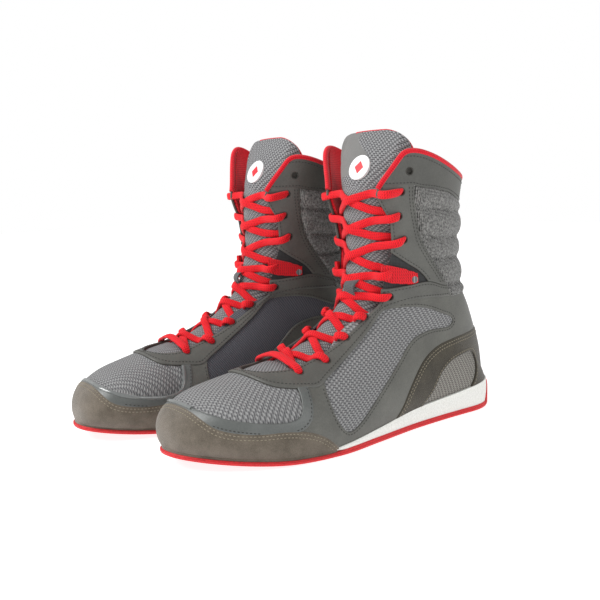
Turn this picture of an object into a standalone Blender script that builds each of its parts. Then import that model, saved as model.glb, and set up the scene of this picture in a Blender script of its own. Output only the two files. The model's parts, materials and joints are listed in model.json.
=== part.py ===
"""A pair of high boxing boots, each built from its real pieces.

Lengths are millimetres until a mesh is made. A boot is described in its own frame: x runs to the
wearer's outer side, a runs forward from the heel, z runs up. The right boot mirrors the left one.
"""

import math

import bmesh
import bpy
import numpy as np
from mathutils import Matrix, Vector

MM = 0.001

# ---------------------------------------------------------------- driving dimensions
FOOT_LENGTH = 290.0        # forward place of the toe's tip
HEEL_START = 3.0           # the back of the heel
HEEL_ROUND = 36.0          # length over which the plan outline rounds off at the heel
TOE_ROUND = 74.0           # and at the toe
MEDIAL_LEAN = 0.030        # the shaft leans this much to the inner side per unit of height

OUTSOLE_THICK = 4.6
SOLE_FLARE = 2.6           # the soles stand out this far from the upper
TOE_SPRING = 9.0
SPRING_START = 200.0

GAP = 0.6                  # clearance between neighbouring pieces
LINING_IN, LINING_OUT = -4.2, -2.8
SHELL_IN = -1.4            # inner face of every outer panel
MESH_OUT, LEATHER_OUT, SUEDE_OUT, QUILT_OUT = 0.5, 1.2, 1.5, 2.0
TRIM_WIDTH = 8.0           # bright band round the front mesh

EYELET_R = 3.2
LACE_R = 1.7
LACE_UNDER = -4.6          # the lace runs this far under the face of the upper
LACE_OVER = 3.8            # and this far over it
SOLE_CLEAR = 0.018         # the panels end this share of their height above the sole line
LINING_BACK = 16.0         # the lining ends this far behind the edge of the throat

TONGUE_THICK = 5.0
FOLD_GAP = 1.8             # room at the tongue's fold line
PIPING_R = 1.7
BADGE_R = 10.0

BOOT_X = 60.0              # centre of the left boot in the pair
RIGHT_X, RIGHT_Y = -66.0, -17.0
RIGHT_YAW = -4.5           # degrees
MID_A = 145.0

# ---------------------------------------------------------------- curves


def curve(knots, values):
    """A smooth curve through the values; it never overshoots them."""
    k = np.asarray(knots, float)
    v = np.asarray(values, float)
    rise = np.diff(v) / np.diff(k)
    slope = np.zeros_like(v)
    slope[0], slope[-1] = rise[0], rise[-1]
    for i in range(1, len(v) - 1):
        if rise[i - 1] * rise[i] > 0.0:
            mean = (v[i + 1] - v[i - 1]) / (k[i + 1] - k[i - 1])
            limit = 3.0 * min(abs(rise[i - 1]), abs(rise[i]))
            slope[i] = math.copysign(min(abs(mean), limit), mean)

    def value(x):
        x = np.clip(np.asarray(x, float), k[0], k[-1])
        i = np.clip(np.searchsorted(k, x, side="right") - 1, 0, len(k) - 2)
        h = k[i + 1] - k[i]
        t = (x - k[i]) / h
        s = t * t * (3.0 - 2.0 * t)
        a = v[i] * (1.0 - s) + v[i + 1] * s
        return a + h * t * (1.0 - t) * (slope[i] * (1.0 - t) - slope[i + 1] * t)

    return value


def rounded_ends(a):
    """Narrows a plan outline to nothing at the heel and the toe."""
    heel = np.clip((HEEL_START + HEEL_ROUND - a) / HEEL_ROUND, 0.0, 1.0)
    toe = np.clip((a - FOOT_LENGTH + TOE_ROUND) / TOE_ROUND, 0.0, 1.0)
    return (1.0 - heel**2.25) ** (1 / 2.25) * (1.0 - toe**2.25) ** (1 / 2.25)


plan_outer = curve([0, 30, 70, 110, 150, 190, 225, 250, 290], [32, 33, 33.5, 36, 42, 48, 47.5, 44, 36])
plan_inner = curve([0, 30, 70, 110, 150, 185, 210, 240, 290], [31, 31, 29, 28, 34, 44, 46, 42, 33])
centre_bend = curve([0, 60, 120, 170, 210, 250, 290], [0, 0, 0, -1, -4, -9, -15])
wedge_top = curve([0, 30, 60, 105, 150, 190, 200], [22.5, 20.5, 17.5, 14.5, 9.5, 5.6, 5.0])


def sole_width(a, side):
    return (plan_outer(a) if side > 0 else plan_inner(a)) * rounded_ends(a)


def ground(a):
    """Height of the underside of the sole: it lifts at the toe and a little at the heel."""
    toe = np.clip((a - SPRING_START) / (FOOT_LENGTH - SPRING_START), 0.0, 1.2)
    return TOE_SPRING * toe**1.8


def feather(a):
    """Height of the line where the upper meets the sole."""
    return np.maximum(wedge_top(a), ground(a) + OUTSOLE_THICK + 0.9)


# ---------------------------------------------------------------- the surface of the upper
# Each station is a slanted section of the boot: it runs from a point of the front ridge down to a
# point of the sole line or, above the heel, of the back seam.
STATIONS = 17
HEEL_STATION = 11
k_all = np.arange(STATIONS + 1)
RIDGE = [(290, 14.5), (288.5, 28), (281, 39), (265, 48), (244, 54), (221, 59.5), (198, 64.5), (175, 73),
         (155, 85), (143, 97), (136, 108), (138, 121), (142, 137), (144, 155), (145, 173), (145, 191),
         (143, 210), (141, 232)]
BASE_A = [290, 287, 277, 259, 234, 207, 175, 140, 103, 63, 26, 3, 5.5, 15.5, 29, 32, 30, 25]
BACK_Z = [44, 74, 101, 129, 162, 196]
HALF_OUTER = [0, 17, 31, 42, 48.5, 50, 48, 44.5, 41.5, 39.5, 38.5, 38, 37.5, 37, 37.5, 38.5, 42, 47]
HALF_INNER = [0, 16, 29, 39, 44.5, 46, 44, 40, 38, 37, 36.5, 36.5, 36.5, 36.5, 37, 38, 42, 47]
FULLNESS = [0.95, 0.85, 0.8, 0.8, 0.85, 0.92, 0.97, 1, 1, 1, 1, 0.97, 0.95, 0.92, 0.9, 0.9, 0.9, 0.9]

ridge_a = curve(k_all, [p[0] for p in RIDGE])
ridge_z = curve(k_all, [p[1] for p in RIDGE])
base_a = curve(k_all, BASE_A)
base_z = curve(k_all, [float(feather(a)) for a in BASE_A[: HEEL_STATION + 1]] + BACK_Z)
half_outer = curve(k_all, HALF_OUTER)
half_inner = curve(k_all, HALF_INNER)
fullness = curve(k_all, FULLNESS)


def surface(k, q, side):
    """Points of the upper: k is the station, q runs from the ridge (0) to the sole or back seam (1)."""
    k, q = np.broadcast_arrays(np.asarray(k, float), np.asarray(q, float))
    p = fullness(k)
    half = np.maximum(half_outer(k) if side > 0 else half_inner(k), 1e-6)
    foot_a = base_a(k)
    foot = np.where(k < HEEL_STATION, sole_width(foot_a, side), 0.0)
    foot_z = np.where(k < HEEL_STATION, feather(foot_a), base_z(k))
    end = math.pi - np.arcsin(np.clip(foot / half, 0.0, 1.0) ** (1.0 / p))
    angle = q * end
    g = (1.0 - np.cos(angle)) / (1.0 - np.cos(end))
    a = ridge_a(k) + (foot_a - ridge_a(k)) * g
    z = ridge_z(k) + (foot_z - ridge_z(k)) * g
    x = centre(a, z) + side * half * np.sin(np.clip(angle, 0.0, math.pi)) ** p
    return np.stack([x, a, z], -1)


def centre(a, z):
    return centre_bend(a) - MEDIAL_LEAN * z


def on_surface(a, z, side):
    """The point of the upper at side-view place (a, z), its outward normal and the way to the throat."""
    ks = np.linspace(0.5, STATIONS, 400)
    ra, rz, ba, bz = ridge_a(ks), ridge_z(ks), base_a(ks), base_z(ks)
    cross = (a - ra) * (bz - rz) - (z - rz) * (ba - ra)
    cross /= np.hypot(ba - ra, bz - rz)
    i = int(np.argmin(np.abs(cross)))
    k = ks[i]
    qs = np.linspace(0.0, 1.0, 600)
    line = surface(np.full_like(qs, k), qs, side)
    j = int(np.argmin((line[:, 1] - a) ** 2 + (line[:, 2] - z) ** 2))
    q = qs[j]
    along = surface(k + 0.05, q, side) - surface(k - 0.05, q, side)
    across = surface(k, min(q + 0.01, 1.0), side) - surface(k, q - 0.01, side)
    normal = np.cross(along, across) * side
    normal /= np.linalg.norm(normal)
    to_throat = -across / np.linalg.norm(across)
    return line[j], normal, to_throat


# ---------------------------------------------------------------- outlines in side view


class Outline:
    """A closed smooth curve in side view; field() is negative inside it."""

    def __init__(self, points, sharp=False):
        pts = np.asarray(points, float)
        if not sharp:
            pts = np.array([self.point(pts, t) for t in np.arange(0, len(pts), 0.25)])
        self.pts = pts

    @staticmethod
    def point(pts, t):
        i, f = int(t), t - int(t)
        p0, p1, p2, p3 = (pts[(i + j) % len(pts)] for j in (-1, 0, 1, 2))
        reach = min(np.linalg.norm(p2 - p1), 40.0)
        m1 = (p2 - p0) / max(np.linalg.norm(p2 - p0), 1e-9) * reach
        m2 = (p3 - p1) / max(np.linalg.norm(p3 - p1), 1e-9) * reach
        s = f * f * (3 - 2 * f)
        bow = f * (1 - f)
        return p1 * (1 - s) + p2 * s + bow * (m1 * (1 - f) - m2 * f)

    def field(self, points):
        a, z = points[:, 1], points[:, 2]
        best = np.full(len(a), 1e9)
        inside = np.zeros(len(a), bool)
        for p, q in zip(self.pts, np.roll(self.pts, -1, 0)):
            d = q - p
            t = np.clip(((a - p[0]) * d[0] + (z - p[1]) * d[1]) / max(d @ d, 1e-9), 0, 1)
            best = np.minimum(best, np.hypot(a - p[0] - t * d[0], z - p[1] - t * d[1]))
            if p[1] != q[1]:
                span = (p[1] > z) != (q[1] > z)
                inside ^= span & (a < p[0] + (z - p[1]) * d[0] / d[1])
        return np.where(inside, -best, best)


FAR = 60.0
COLLAR = Outline([(160, 165), (140, 178), (133.5, 191), (126, 203), (116, 211), (103, 214.5), (88, 212.5),
                  (71, 206), (52, 196), (36, 189.5), (22, 187), (0, 186), (-FAR, 185), (-FAR, -FAR),
                  (330, -FAR), (330, 60), (240, 150)])
BUMPER = Outline([(280, 60), (278.5, 41), (275, 34), (268, 29.5), (250, 26.5), (228, 25), (210, 20.5),
                  (197, 13), (188, 3), (185, -20), (250, -25), (315, -20), (315, 30), (300, 62)])
VAMP = Outline([(279.5, 75), (277.5, 43), (270, 38), (258, 34.5), (241, 31.5), (226, 30.5), (218, 33),
                (214, 40), (211.5, 50), (210, 70), (230, 90), (265, 90)])
# The next five are large regions, each of which has one edge that matters.
ABOVE_STAY_EDGE = Outline([(236, 300), (236, 75), (234.5, 58), (228, 52), (218, 49.5), (205, 48), (195, 47.5),
                           (186.5, 51.7), (167, 61.5), (141.5, 77), (127, 88.5), (114, 95.5), (98, 98.5),
                           (68, 97.5), (30, 97), (-FAR, 97), (-FAR, 300)])
BELOW_ANKLE = Outline([(-FAR, 105), (40, 105), (69, 106), (87, 111), (107, 109.5), (122, 108), (136, 108),
                       (200, 108), (300, 108), (300, -FAR), (-FAR, -FAR)])
ABOVE_NOTCH = Outline([(175, 160), (150, 152), (128, 143), (120, 136.5), (106, 126.5), (95, 119.5), (88, 112),
                       (80, 98), (60, 60), (-FAR, 60), (-FAR, 320), (175, 320)])
BEHIND_STAY = Outline([(101.5, 300), (101.5, 215), (101, 184), (99.5, 169), (97, 156), (94, 144), (87, 133),
                       (79, 122), (70, 110.5), (66, 103), (64, 93), (62, 60), (-FAR, 60), (-FAR, 300)])
BAND = Outline([(180, 184), (101, 184), (97, 182.5), (83, 181), (66, 178), (49, 172), (30, 166), (0, 160),
                (-FAR, 158), (-FAR, 260), (180, 260)], sharp=True)
WINDOW = Outline([(62, 77), (86, 73.5), (105, 68), (122, 55), (141, 40), (160, 25), (172, 17), (181, 15.5),
                  (189, 25), (191.5, 42), (187, 54), (173, 64.5), (151, 80), (129, 90), (111, 93), (94, 92),
                  (76, 86)])
SUEDE = Outline([(142, -8), (138, 3), (124, 19), (114, 35), (98, 52), (80, 61), (62, 64.5), (35, 66), (0, 67),
                 (-30, 68), (-30, -10), (60, -14)])
HEEL_WINDOW = Outline([(101, 2), (99, 13), (88, 25), (77, 40), (64, 47.5), (44, 50), (35, 47.5), (33, 37),
                       (39, 22), (47, 8), (48, 2), (75, -3)])

# Places of the eyelets, from the toe up; the sixth row is the loop at the ankle.
EYELETS = [(202, 56.5), (180, 61.5), (157.5, 74.5), (138, 87.5), (118, 102)]
LOOP_EYE = (118, 119)
LOOP_ROUTE = [(97.5, 114.3), (104, 115.6), (111, 117.2), (118, 119), (124, 120.6)]
SHAFT_EYELETS = [(109, 144), (113, 162), (111.5, 179.5)]
SPARE_EYELET = (106, 194)

throat_half = curve([50, 57, 65, 75, 90, 105, 120, 136, 150, 180, 190, 215],
                    [19, 20, 20.5, 20.5, 21, 23, 26.5, 30, 31.5, 32.5, 35, 43])
THROAT_FRONT = 229.0
THROAT_ROUND = 205.0


def throat_reach(k, side):
    """Arc length from the ridge along station k, and the arc length at which the throat's edge lies."""
    q = np.linspace(0.0, 1.0, 400)
    line = surface(np.full_like(q, k), q, side)
    arc = np.concatenate([[0.0], np.cumsum(np.linalg.norm(np.diff(line, axis=0), axis=1))])
    front = np.clip((line[:, 1] - THROAT_ROUND) / (THROAT_FRONT - THROAT_ROUND), 0.0, 1.0)
    half = throat_half(line[:, 2]) * np.sqrt(1.0 - front**2)
    beyond = np.abs(line[:, 0] - centre(line[:, 1], line[:, 2])) > half
    edge = arc[int(np.argmax(beyond))] - max(float(ridge_a(k)) - THROAT_FRONT, 0.0)
    return q, arc, edge


# ---------------------------------------------------------------- panels cut from the surface


def base_grid(foot_rows, ankle_rows, shaft_rows, cells_q):
    """The whole upper as one triangulated sheet, with normals; both sides share the ridge and back seam.

    A fourth coordinate of each point says how far behind the throat's edge it lies.
    """
    ks = np.unique(np.concatenate([[0.0, 0.4, 0.8, 1.2, 1.6, 2.0, 2.5], np.linspace(3.0, 8.5, foot_rows),
                                   np.linspace(8.5, 13.5, ankle_rows),
                                   np.linspace(13.5, STATIONS, shaft_rows)]))
    rows = []
    for k in ks:
        half = np.linspace(0, 1 - SOLE_CLEAR * min(max(HEEL_STATION - k, 0.0), 1.0), cells_q + 1)
        sides = []
        for side in (1, -1):
            q, arc, edge = throat_reach(k, side)
            behind = np.interp(half, q, arc) - edge
            sides.append(np.column_stack([surface(np.full_like(half, k), half, side), behind]))
        rows.append(np.concatenate([sides[1][:0:-1], sides[0]]))
    grid = np.array(rows)
    n_k, n_q = grid.shape[:2]
    index = np.arange(n_k * n_q).reshape(n_k, n_q)
    faces = []
    for i in range(n_k - 1):
        for j in range(n_q - 1):
            a, b, c, d = index[i, j], index[i + 1, j], index[i + 1, j + 1], index[i, j + 1]
            if j < n_q // 2:
                faces += [(a, b, c), (a, c, d)]
            else:
                faces += [(a, b, d), (b, c, d)]
    points = grid.reshape(-1, 4)
    keys, first, back = np.unique(np.round(points[:, :3], 3), axis=0, return_index=True, return_inverse=True)
    back = back.ravel()
    tris = back[np.array(faces)]
    keep = (tris[:, 0] != tris[:, 1]) & (tris[:, 1] != tris[:, 2]) & (tris[:, 0] != tris[:, 2])
    tris = tris[keep]
    points = points[first]
    normals = np.zeros((len(points), 3))
    corner = points[tris][:, :, :3]
    face_n = np.cross(corner[:, 1] - corner[:, 0], corner[:, 2] - corner[:, 0])
    for j in range(3):
        np.add.at(normals, tris[:, j], face_n)
    normals /= np.maximum(np.linalg.norm(normals, axis=1, keepdims=True), 1e-9)
    middle = centre(points[:, 1], points[:, 2])
    outward = np.stack([points[:, 0] - middle, points[:, 1] - 100.0, points[:, 2] - 60.0], -1)
    if np.sum(normals * outward) < 0:
        normals = -normals
        tris = tris[:, ::-1]
    return points, normals, tris


def clip(sheet, field):
    """Keeps the part of a sheet where the field is negative."""
    points, normals, tris = sheet
    value = field(points)
    value = np.where(np.abs(value) < 0.02, -0.02, value)
    out_p, out_n = list(points), list(normals)
    made = {}

    def crossing(i, j):
        key = (min(i, j), max(i, j))
        if key not in made:
            t = value[i] / (value[i] - value[j])
            made[key] = len(out_p)
            out_p.append(points[i] + (points[j] - points[i]) * t)
            n = normals[i] + (normals[j] - normals[i]) * t
            out_n.append(n / np.linalg.norm(n))
        return made[key]

    faces = []
    for tri in tris:
        inside = [value[i] < 0 for i in tri]
        if all(inside):
            faces.append(tuple(tri))
            continue
        if not any(inside):
            continue
        ring = []
        for i, j in ((0, 1), (1, 2), (2, 0)):
            if inside[i]:
                ring.append(tri[i])
            if inside[i] != inside[j]:
                ring.append(crossing(tri[i], tri[j]))
        faces += [(ring[0], ring[m], ring[m + 1]) for m in range(1, len(ring) - 1)]
    used = np.unique(np.array(faces).ravel()) if faces else np.array([], int)
    back = np.full(len(out_p), -1)
    back[used] = np.arange(len(used))
    return np.array(out_p)[used], np.array(out_n)[used], back[np.array(faces)]


def inside(outline, grow=0.0):
    return lambda p: outline.field(p) - grow + GAP / 2


def outside(outline, grow=0.0):
    return lambda p: grow - outline.field(p) + GAP / 2


def one_side(side):
    return lambda p: -side * (p[:, 0] - centre(p[:, 1], p[:, 2])) + GAP / 2


def behind_throat(back=0.0):
    return lambda p: back - p[:, 3]


def largest_part(tris, count):
    """Drops stray slivers: keeps the biggest connected part of a sheet."""
    parent = list(range(count))

    def root(i):
        while parent[i] != i:
            parent[i] = parent[parent[i]]
            i = parent[i]
        return i

    for a, b, c in tris:
        parent[root(a)] = root(b)
        parent[root(b)] = root(c)
    label = np.array([root(t[0]) for t in tris])
    names, size = np.unique(label, return_counts=True)
    return tris[label == names[np.argmax(size)]]


def thicken(sheet, low, high):
    """A closed solid between two offsets of a sheet."""
    points, normals, tris = sheet
    tris = largest_part(tris, len(points))
    points = points[:, :3]
    inner, outer = points + normals * low, points + normals * high
    count = len(points)
    faces = [tuple(t + count) for t in tris] + [tuple(t[::-1]) for t in tris]
    edges = {}
    for t in tris:
        for i, j in ((t[0], t[1]), (t[1], t[2]), (t[2], t[0])):
            edges[(i, j)] = 1
    for i, j in edges:
        if (j, i) not in edges:
            faces.append((i, j, j + count, i + count))
    return np.concatenate([inner, outer]), faces


# ---------------------------------------------------------------- simple solids


def tube(path, radius, sides=8):
    """A closed tube along a path; its rings sit square to the path's turn at each point."""
    path = np.asarray(path, float)
    step = np.diff(path, axis=0)
    step /= np.linalg.norm(step, axis=1, keepdims=True)
    tangent = np.concatenate([step[:1], step[:-1] + step[1:], step[-1:]])
    tangent /= np.linalg.norm(tangent, axis=1, keepdims=True)
    across = np.cross(tangent[0], [0.0, 0.0, 1.0])
    if np.linalg.norm(across) < 0.1:
        across = np.cross(tangent[0], [0.0, 1.0, 0.0])
    points = []
    for p, t in zip(path, tangent):
        across = across - t * (across @ t)
        across /= np.linalg.norm(across)
        up = np.cross(t, across)
        for s in range(sides):
            w = 2 * math.pi * s / sides
            points.append(p + radius * (math.cos(w) * across + math.sin(w) * up))
    faces = [tuple(range(sides))[::-1], tuple(range((len(path) - 1) * sides, len(path) * sides))]
    for i in range(len(path) - 1):
        for s in range(sides):
            n = (s + 1) % sides
            faces.append((i * sides + s, i * sides + n, (i + 1) * sides + n, (i + 1) * sides + s))
    return np.array(points), faces


def slab(sections):
    """A closed solid lofted through sections, each a ring with the same number of points."""
    sections = np.array(sections)
    n, m = sections.shape[:2]
    faces = [tuple(range(m))[::-1], tuple(range((n - 1) * m, n * m))]
    for i in range(n - 1):
        for s in range(m):
            t = (s + 1) % m
            faces.append((i * m + s, i * m + t, (i + 1) * m + t, (i + 1) * m + s))
    return sections.reshape(-1, 3), faces


def plan_section(a, grow, low, high, edge=0.0):
    """One ring of a sole layer at forward place a; grow widens it, edge rounds its sides."""
    near = float(np.clip(a, HEEL_START + 0.7, FOOT_LENGTH - 0.7))
    outer = centre_bend(near) + sole_width(near, 1) + grow
    inner = centre_bend(near) - sole_width(near, -1) - grow
    rows = [(outer - edge, low), (outer, low + edge), (outer, high - edge), (outer - edge, high)]
    ring = [(x, a, z) for x, z in rows]
    return ring + [(inner + (outer - x), a, z) for x, z in rows[::-1]]


def sole_layer(start, end, grow, low, high, edge=0.6, count=19):
    """A layer of the sole between forward places start and end."""
    span = np.linspace(0, math.pi, count)
    places = start + (end - start) * (1 - np.cos(span)) / 2
    return slab([plan_section(a, grow_at(a, grow), low(a), high(a), edge) for a in places])


def grow_at(a, grow):
    """Outside the plan's own length the sole keeps the rounding of its flare."""
    over = max(HEEL_START - a, a - FOOT_LENGTH, 0.0)
    if grow <= 0 or over <= 0:
        return grow
    return math.sqrt(max(grow * grow - over * over, 0.04))


# ---------------------------------------------------------------- tongue
TONGUE_PATH = [(224, 52.5), (210, 55), (196, 58.5), (180, 64.5), (163, 73.5), (148, 84.5), (137, 96),
               (131, 109), (128, 123), (127.5, 138), (128, 154), (128, 170), (126.5, 184), (121, 198),
               (115.5, 208), (109, 217), (102.5, 226)]
TONGUE_DROP = [7, 9, 11, 12.5, 15.5, 19.5, 24, 22.5, 20.5, 20, 19.5, 18.5, 16.5, 10, 6, 3.5, 1.5]
tongue_v = np.arange(len(TONGUE_PATH))
tongue_a = curve(tongue_v, [p[0] for p in TONGUE_PATH])
tongue_z = curve(tongue_v, [p[1] for p in TONGUE_PATH])
tongue_drop = curve(tongue_v, TONGUE_DROP)
tongue_half = curve([0, 1, 3, 6, 9, 12, 14, 15, 16], [14, 19, 22.5, 22.5, 27, 29.5, 30, 30, 28.5])
FOLD_V = 12.0


def tongue_point(v, u, depth=0.0):
    """A point of the tongue: v runs up it, u from the inner edge (-1) to the outer (+1)."""
    dv = 0.02
    ta = float(tongue_a(v + dv) - tongue_a(v - dv))
    tz = float(tongue_z(v + dv) - tongue_z(v - dv))
    long = math.hypot(ta, tz)
    front = np.array([tz, -ta]) / long
    if front[0] < 0 and front[1] < 0:
        front = -front
    down = float(tongue_drop(v)) * u * u + depth
    a = float(tongue_a(v)) - front[0] * down
    z = float(tongue_z(v)) - front[1] * down
    x = float(centre(tongue_a(v), tongue_z(v))) + u * float(tongue_half(v))
    return np.array([x, a, z])


def tongue_solid(v0, v1, count, cut0=0.0, cut1=0.0):
    """A padded stretch of the tongue; cut0 and cut1 shorten its ends."""
    us = np.linspace(-1, 1, 7)
    sections = []
    for v in np.linspace(v0, v1, count):
        top = [tongue_point(v, u) for u in us]
        low = [tongue_point(v, u, TONGUE_THICK * (1 - 0.6 * abs(u) ** 3)) for u in us[::-1]]
        sections.append(top + low)
    sections = np.array(sections)
    for end, toward, cut in ((0, 1, cut0), (-1, -2, cut1)):
        if cut:
            way = sections[toward] - sections[end]
            length = np.linalg.norm(way, axis=1, keepdims=True)
            sections[end] += way / length * cut
    return slab(sections)


# ---------------------------------------------------------------- lace


def crossing(start, end, side, over):
    """Lace points over the tongue, from the eyelet at start to the one at end on the other side."""
    v0, v1 = tongue_at(*start[0][1:]), tongue_at(*end[0][1:])
    points = []
    for share in (-0.62, -0.3, 0.0, 0.3, 0.62):
        hump = 2 * LACE_R + 1.4 if over and share == 0.0 else 0.0
        v = v0 + (v1 - v0) * (0.5 + 0.5 * share)
        points.append(tongue_point(v, -side * share, -(LACE_R + 1.9 + hump)))
    return points


def strand(eye, rows, first_side):
    """One half of the lace: down through an eyelet, out under the edge, over the tongue, and so on up."""
    side = first_side
    points = []
    for i in range(rows - 1):
        here, there = eye[side, i], eye[-side, i + 1]
        c, n, t = here
        c2, n2, t2 = there
        v0, v1 = tongue_at(*c[1:]), tongue_at(*c2[1:])
        points += [c + n * 1.0, c + n * (LACE_UNDER + 1.3), c + n * LACE_UNDER + t * 2.2,
                   tongue_point(0.86 * v0 + 0.14 * v1, side * 0.82, -(LACE_R + 2.3))]
        points += crossing(here, there, side, (side == 1) == (i % 2 == 0))
        points += [c2 + n2 * (LACE_OVER - 0.4) + t2 * 10.5, c2 + n2 * LACE_OVER + t2 * 1.4]
        side = -side
    c, n, t = eye[side, rows - 1]
    down = eye[side, rows - 2][0] - c
    down /= np.linalg.norm(down)
    return points + [c + n * 1.0, c + n * (LACE_UNDER + 1.3), c + n * LACE_UNDER + down * 3.0]


def lace_path():
    """Runs from one hidden end to the other: up both sides from a bar between the lowest eyelets."""
    rows = EYELETS + [LOOP_EYE] + SHAFT_EYELETS
    eye = {(s, i): on_surface(*rows[i], s) for s in (1, -1) for i in range(len(rows))}
    c, n, t = eye[1, 0]
    d, m, u = eye[-1, 0]
    ridge = (c + d) / 2 + np.array([0.0, 3.0, 12.0])
    bar = [c + n * LACE_OVER + t * 1.4, c + n * LACE_OVER + t * 6.0, ridge,
           d + m * LACE_OVER + u * 6.0, d + m * LACE_OVER + u * 1.4]
    return strand(eye, len(rows), 1)[::-1] + bar + strand(eye, len(rows), -1)


def tongue_at(a, z):
    vs = np.linspace(0, len(TONGUE_PATH) - 1, 321)
    return float(vs[np.argmin((tongue_a(vs) - a) ** 2 + (tongue_z(vs) - z) ** 2)])


# ---------------------------------------------------------------- materials
PAINTS = {
    "mesh": ((0.20, 0.20, 0.205), 0.85, 0.0),
    "leather": ((0.125, 0.13, 0.115), 0.5, 0.0),
    "suede": ((0.145, 0.125, 0.105), 0.95, 0.0),
    "gloss_trim": ((0.16, 0.17, 0.165), 0.2, 0.0),
    "red_lining": ((0.45, 0.012, 0.022), 0.8, 0.0),
    "red_lace": ((0.83, 0.012, 0.03), 0.7, 0.0),
    "white_foam": ((0.8, 0.8, 0.78), 0.6, 0.0),
    "red_rubber": ((0.68, 0.035, 0.045), 0.55, 0.0),
    "white_badge": ((0.85, 0.85, 0.85), 0.4, 0.0),
    "board": ((0.35, 0.28, 0.2), 0.8, 0.0),
    "webbing": ((0.12, 0.12, 0.12), 0.8, 0.0),
}


def paint(name):
    if name in bpy.data.materials:
        return bpy.data.materials[name]
    colour, rough, metal = PAINTS[name]
    material = bpy.data.materials.new(name)
    material.use_nodes = True
    shader = material.node_tree.nodes["Principled BSDF"]
    shader.inputs["Base Color"].default_value = (*colour, 1.0)
    shader.inputs["Roughness"].default_value = rough
    shader.inputs["Metallic"].default_value = metal
    return material


# ---------------------------------------------------------------- one boot


class Boot:
    """Makes the pieces of one boot; side_sign is +1 for the left boot, -1 for the mirrored right one."""

    def __init__(self, name, side_sign, place):
        self.name, self.sign, self.place = name, side_sign, place

    def to_world(self, points):
        p = np.asarray(points, float)
        local = np.stack([p[:, 0] * self.sign, MID_A - p[:, 1], p[:, 2]], -1) * MM
        rot = np.array(self.place.to_3x3())
        return local @ rot.T + np.array(self.place.translation)

    def solid_object(self, name, solid):
        points, faces = solid
        mesh = bpy.data.meshes.new(name)
        corners = [tuple(int(i) for i in face) for face in faces]
        mesh.from_pydata([tuple(p) for p in self.to_world(points)], [], corners)
        work = bmesh.new()
        work.from_mesh(mesh)
        bmesh.ops.remove_doubles(work, verts=work.verts, dist=0.02 * MM)
        bmesh.ops.recalc_face_normals(work, faces=work.faces)
        work.to_mesh(mesh)
        work.free()
        obj = bpy.data.objects.new(name, mesh)
        bpy.context.scene.collection.objects.link(obj)
        return obj

    def piece(self, node, solid, material, holes=()):
        """Adds a closed mesh as one object and drills the holes through it."""
        obj = self.solid_object(f"{self.name}_{node}", solid)
        obj.data.materials.append(paint(material))
        for number, hole in enumerate(holes):
            self.drill(obj, hole, number)
        return obj

    def drill(self, obj, hole, number):
        """Cuts one eyelet with a cylinder that stands square to the surface."""
        c, n = hole
        tool = self.solid_object("drill", tube([c - n * 6.0, c + n * 6.0], EYELET_R, 8))
        cut = obj.modifiers.new(f"eyelet_{number}", "BOOLEAN")
        cut.operation = "DIFFERENCE"
        cut.object = tool
        bpy.context.view_layer.update()
        result = bpy.data.meshes.new_from_object(obj.evaluated_get(bpy.context.evaluated_depsgraph_get()))
        obj.modifiers.clear()
        result.name = obj.name
        obj.data = result
        bpy.data.objects.remove(tool)


def eyelets(places, side):
    return [on_surface(a, z, side)[:2] for a, z in places]


def cut(sheet, *fields):
    for field in fields:
        sheet = clip(sheet, field)
    return sheet


def build_sole(boot):
    boot.piece("outsole", sole_layer(HEEL_START - SOLE_FLARE, FOOT_LENGTH + SOLE_FLARE, SOLE_FLARE,
                                     lambda a: float(ground(a)), lambda a: float(ground(a)) + OUTSOLE_THICK),
               "red_rubber")
    boot.piece("midsole", sole_layer(HEEL_START - SOLE_FLARE + 0.6, 192.0, SOLE_FLARE - 0.6,
                                     lambda a: float(ground(a)) + OUTSOLE_THICK + 0.3,
                                     lambda a: max(float(feather(a)) - 1.2, OUTSOLE_THICK + 1.2), 0.3),
               "white_foam")
    inset = 6.4
    board = sole_layer(HEEL_START + 9.0 + inset, FOOT_LENGTH - 5.0 - inset, -inset - 1.6,
                       lambda a: float(feather(a)) + 0.6, lambda a: float(feather(a)) + 2.4, 0.3)
    boot.piece("insole_board", board, "board")
    footbed = sole_layer(HEEL_START + 11.0 + inset, FOOT_LENGTH - 7.0 - inset, -inset - 2.6,
                         lambda a: float(feather(a)) + 3.0, lambda a: float(feather(a)) + 6.4, 0.6)
    boot.piece("footbed", footbed, "red_lining")


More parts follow.
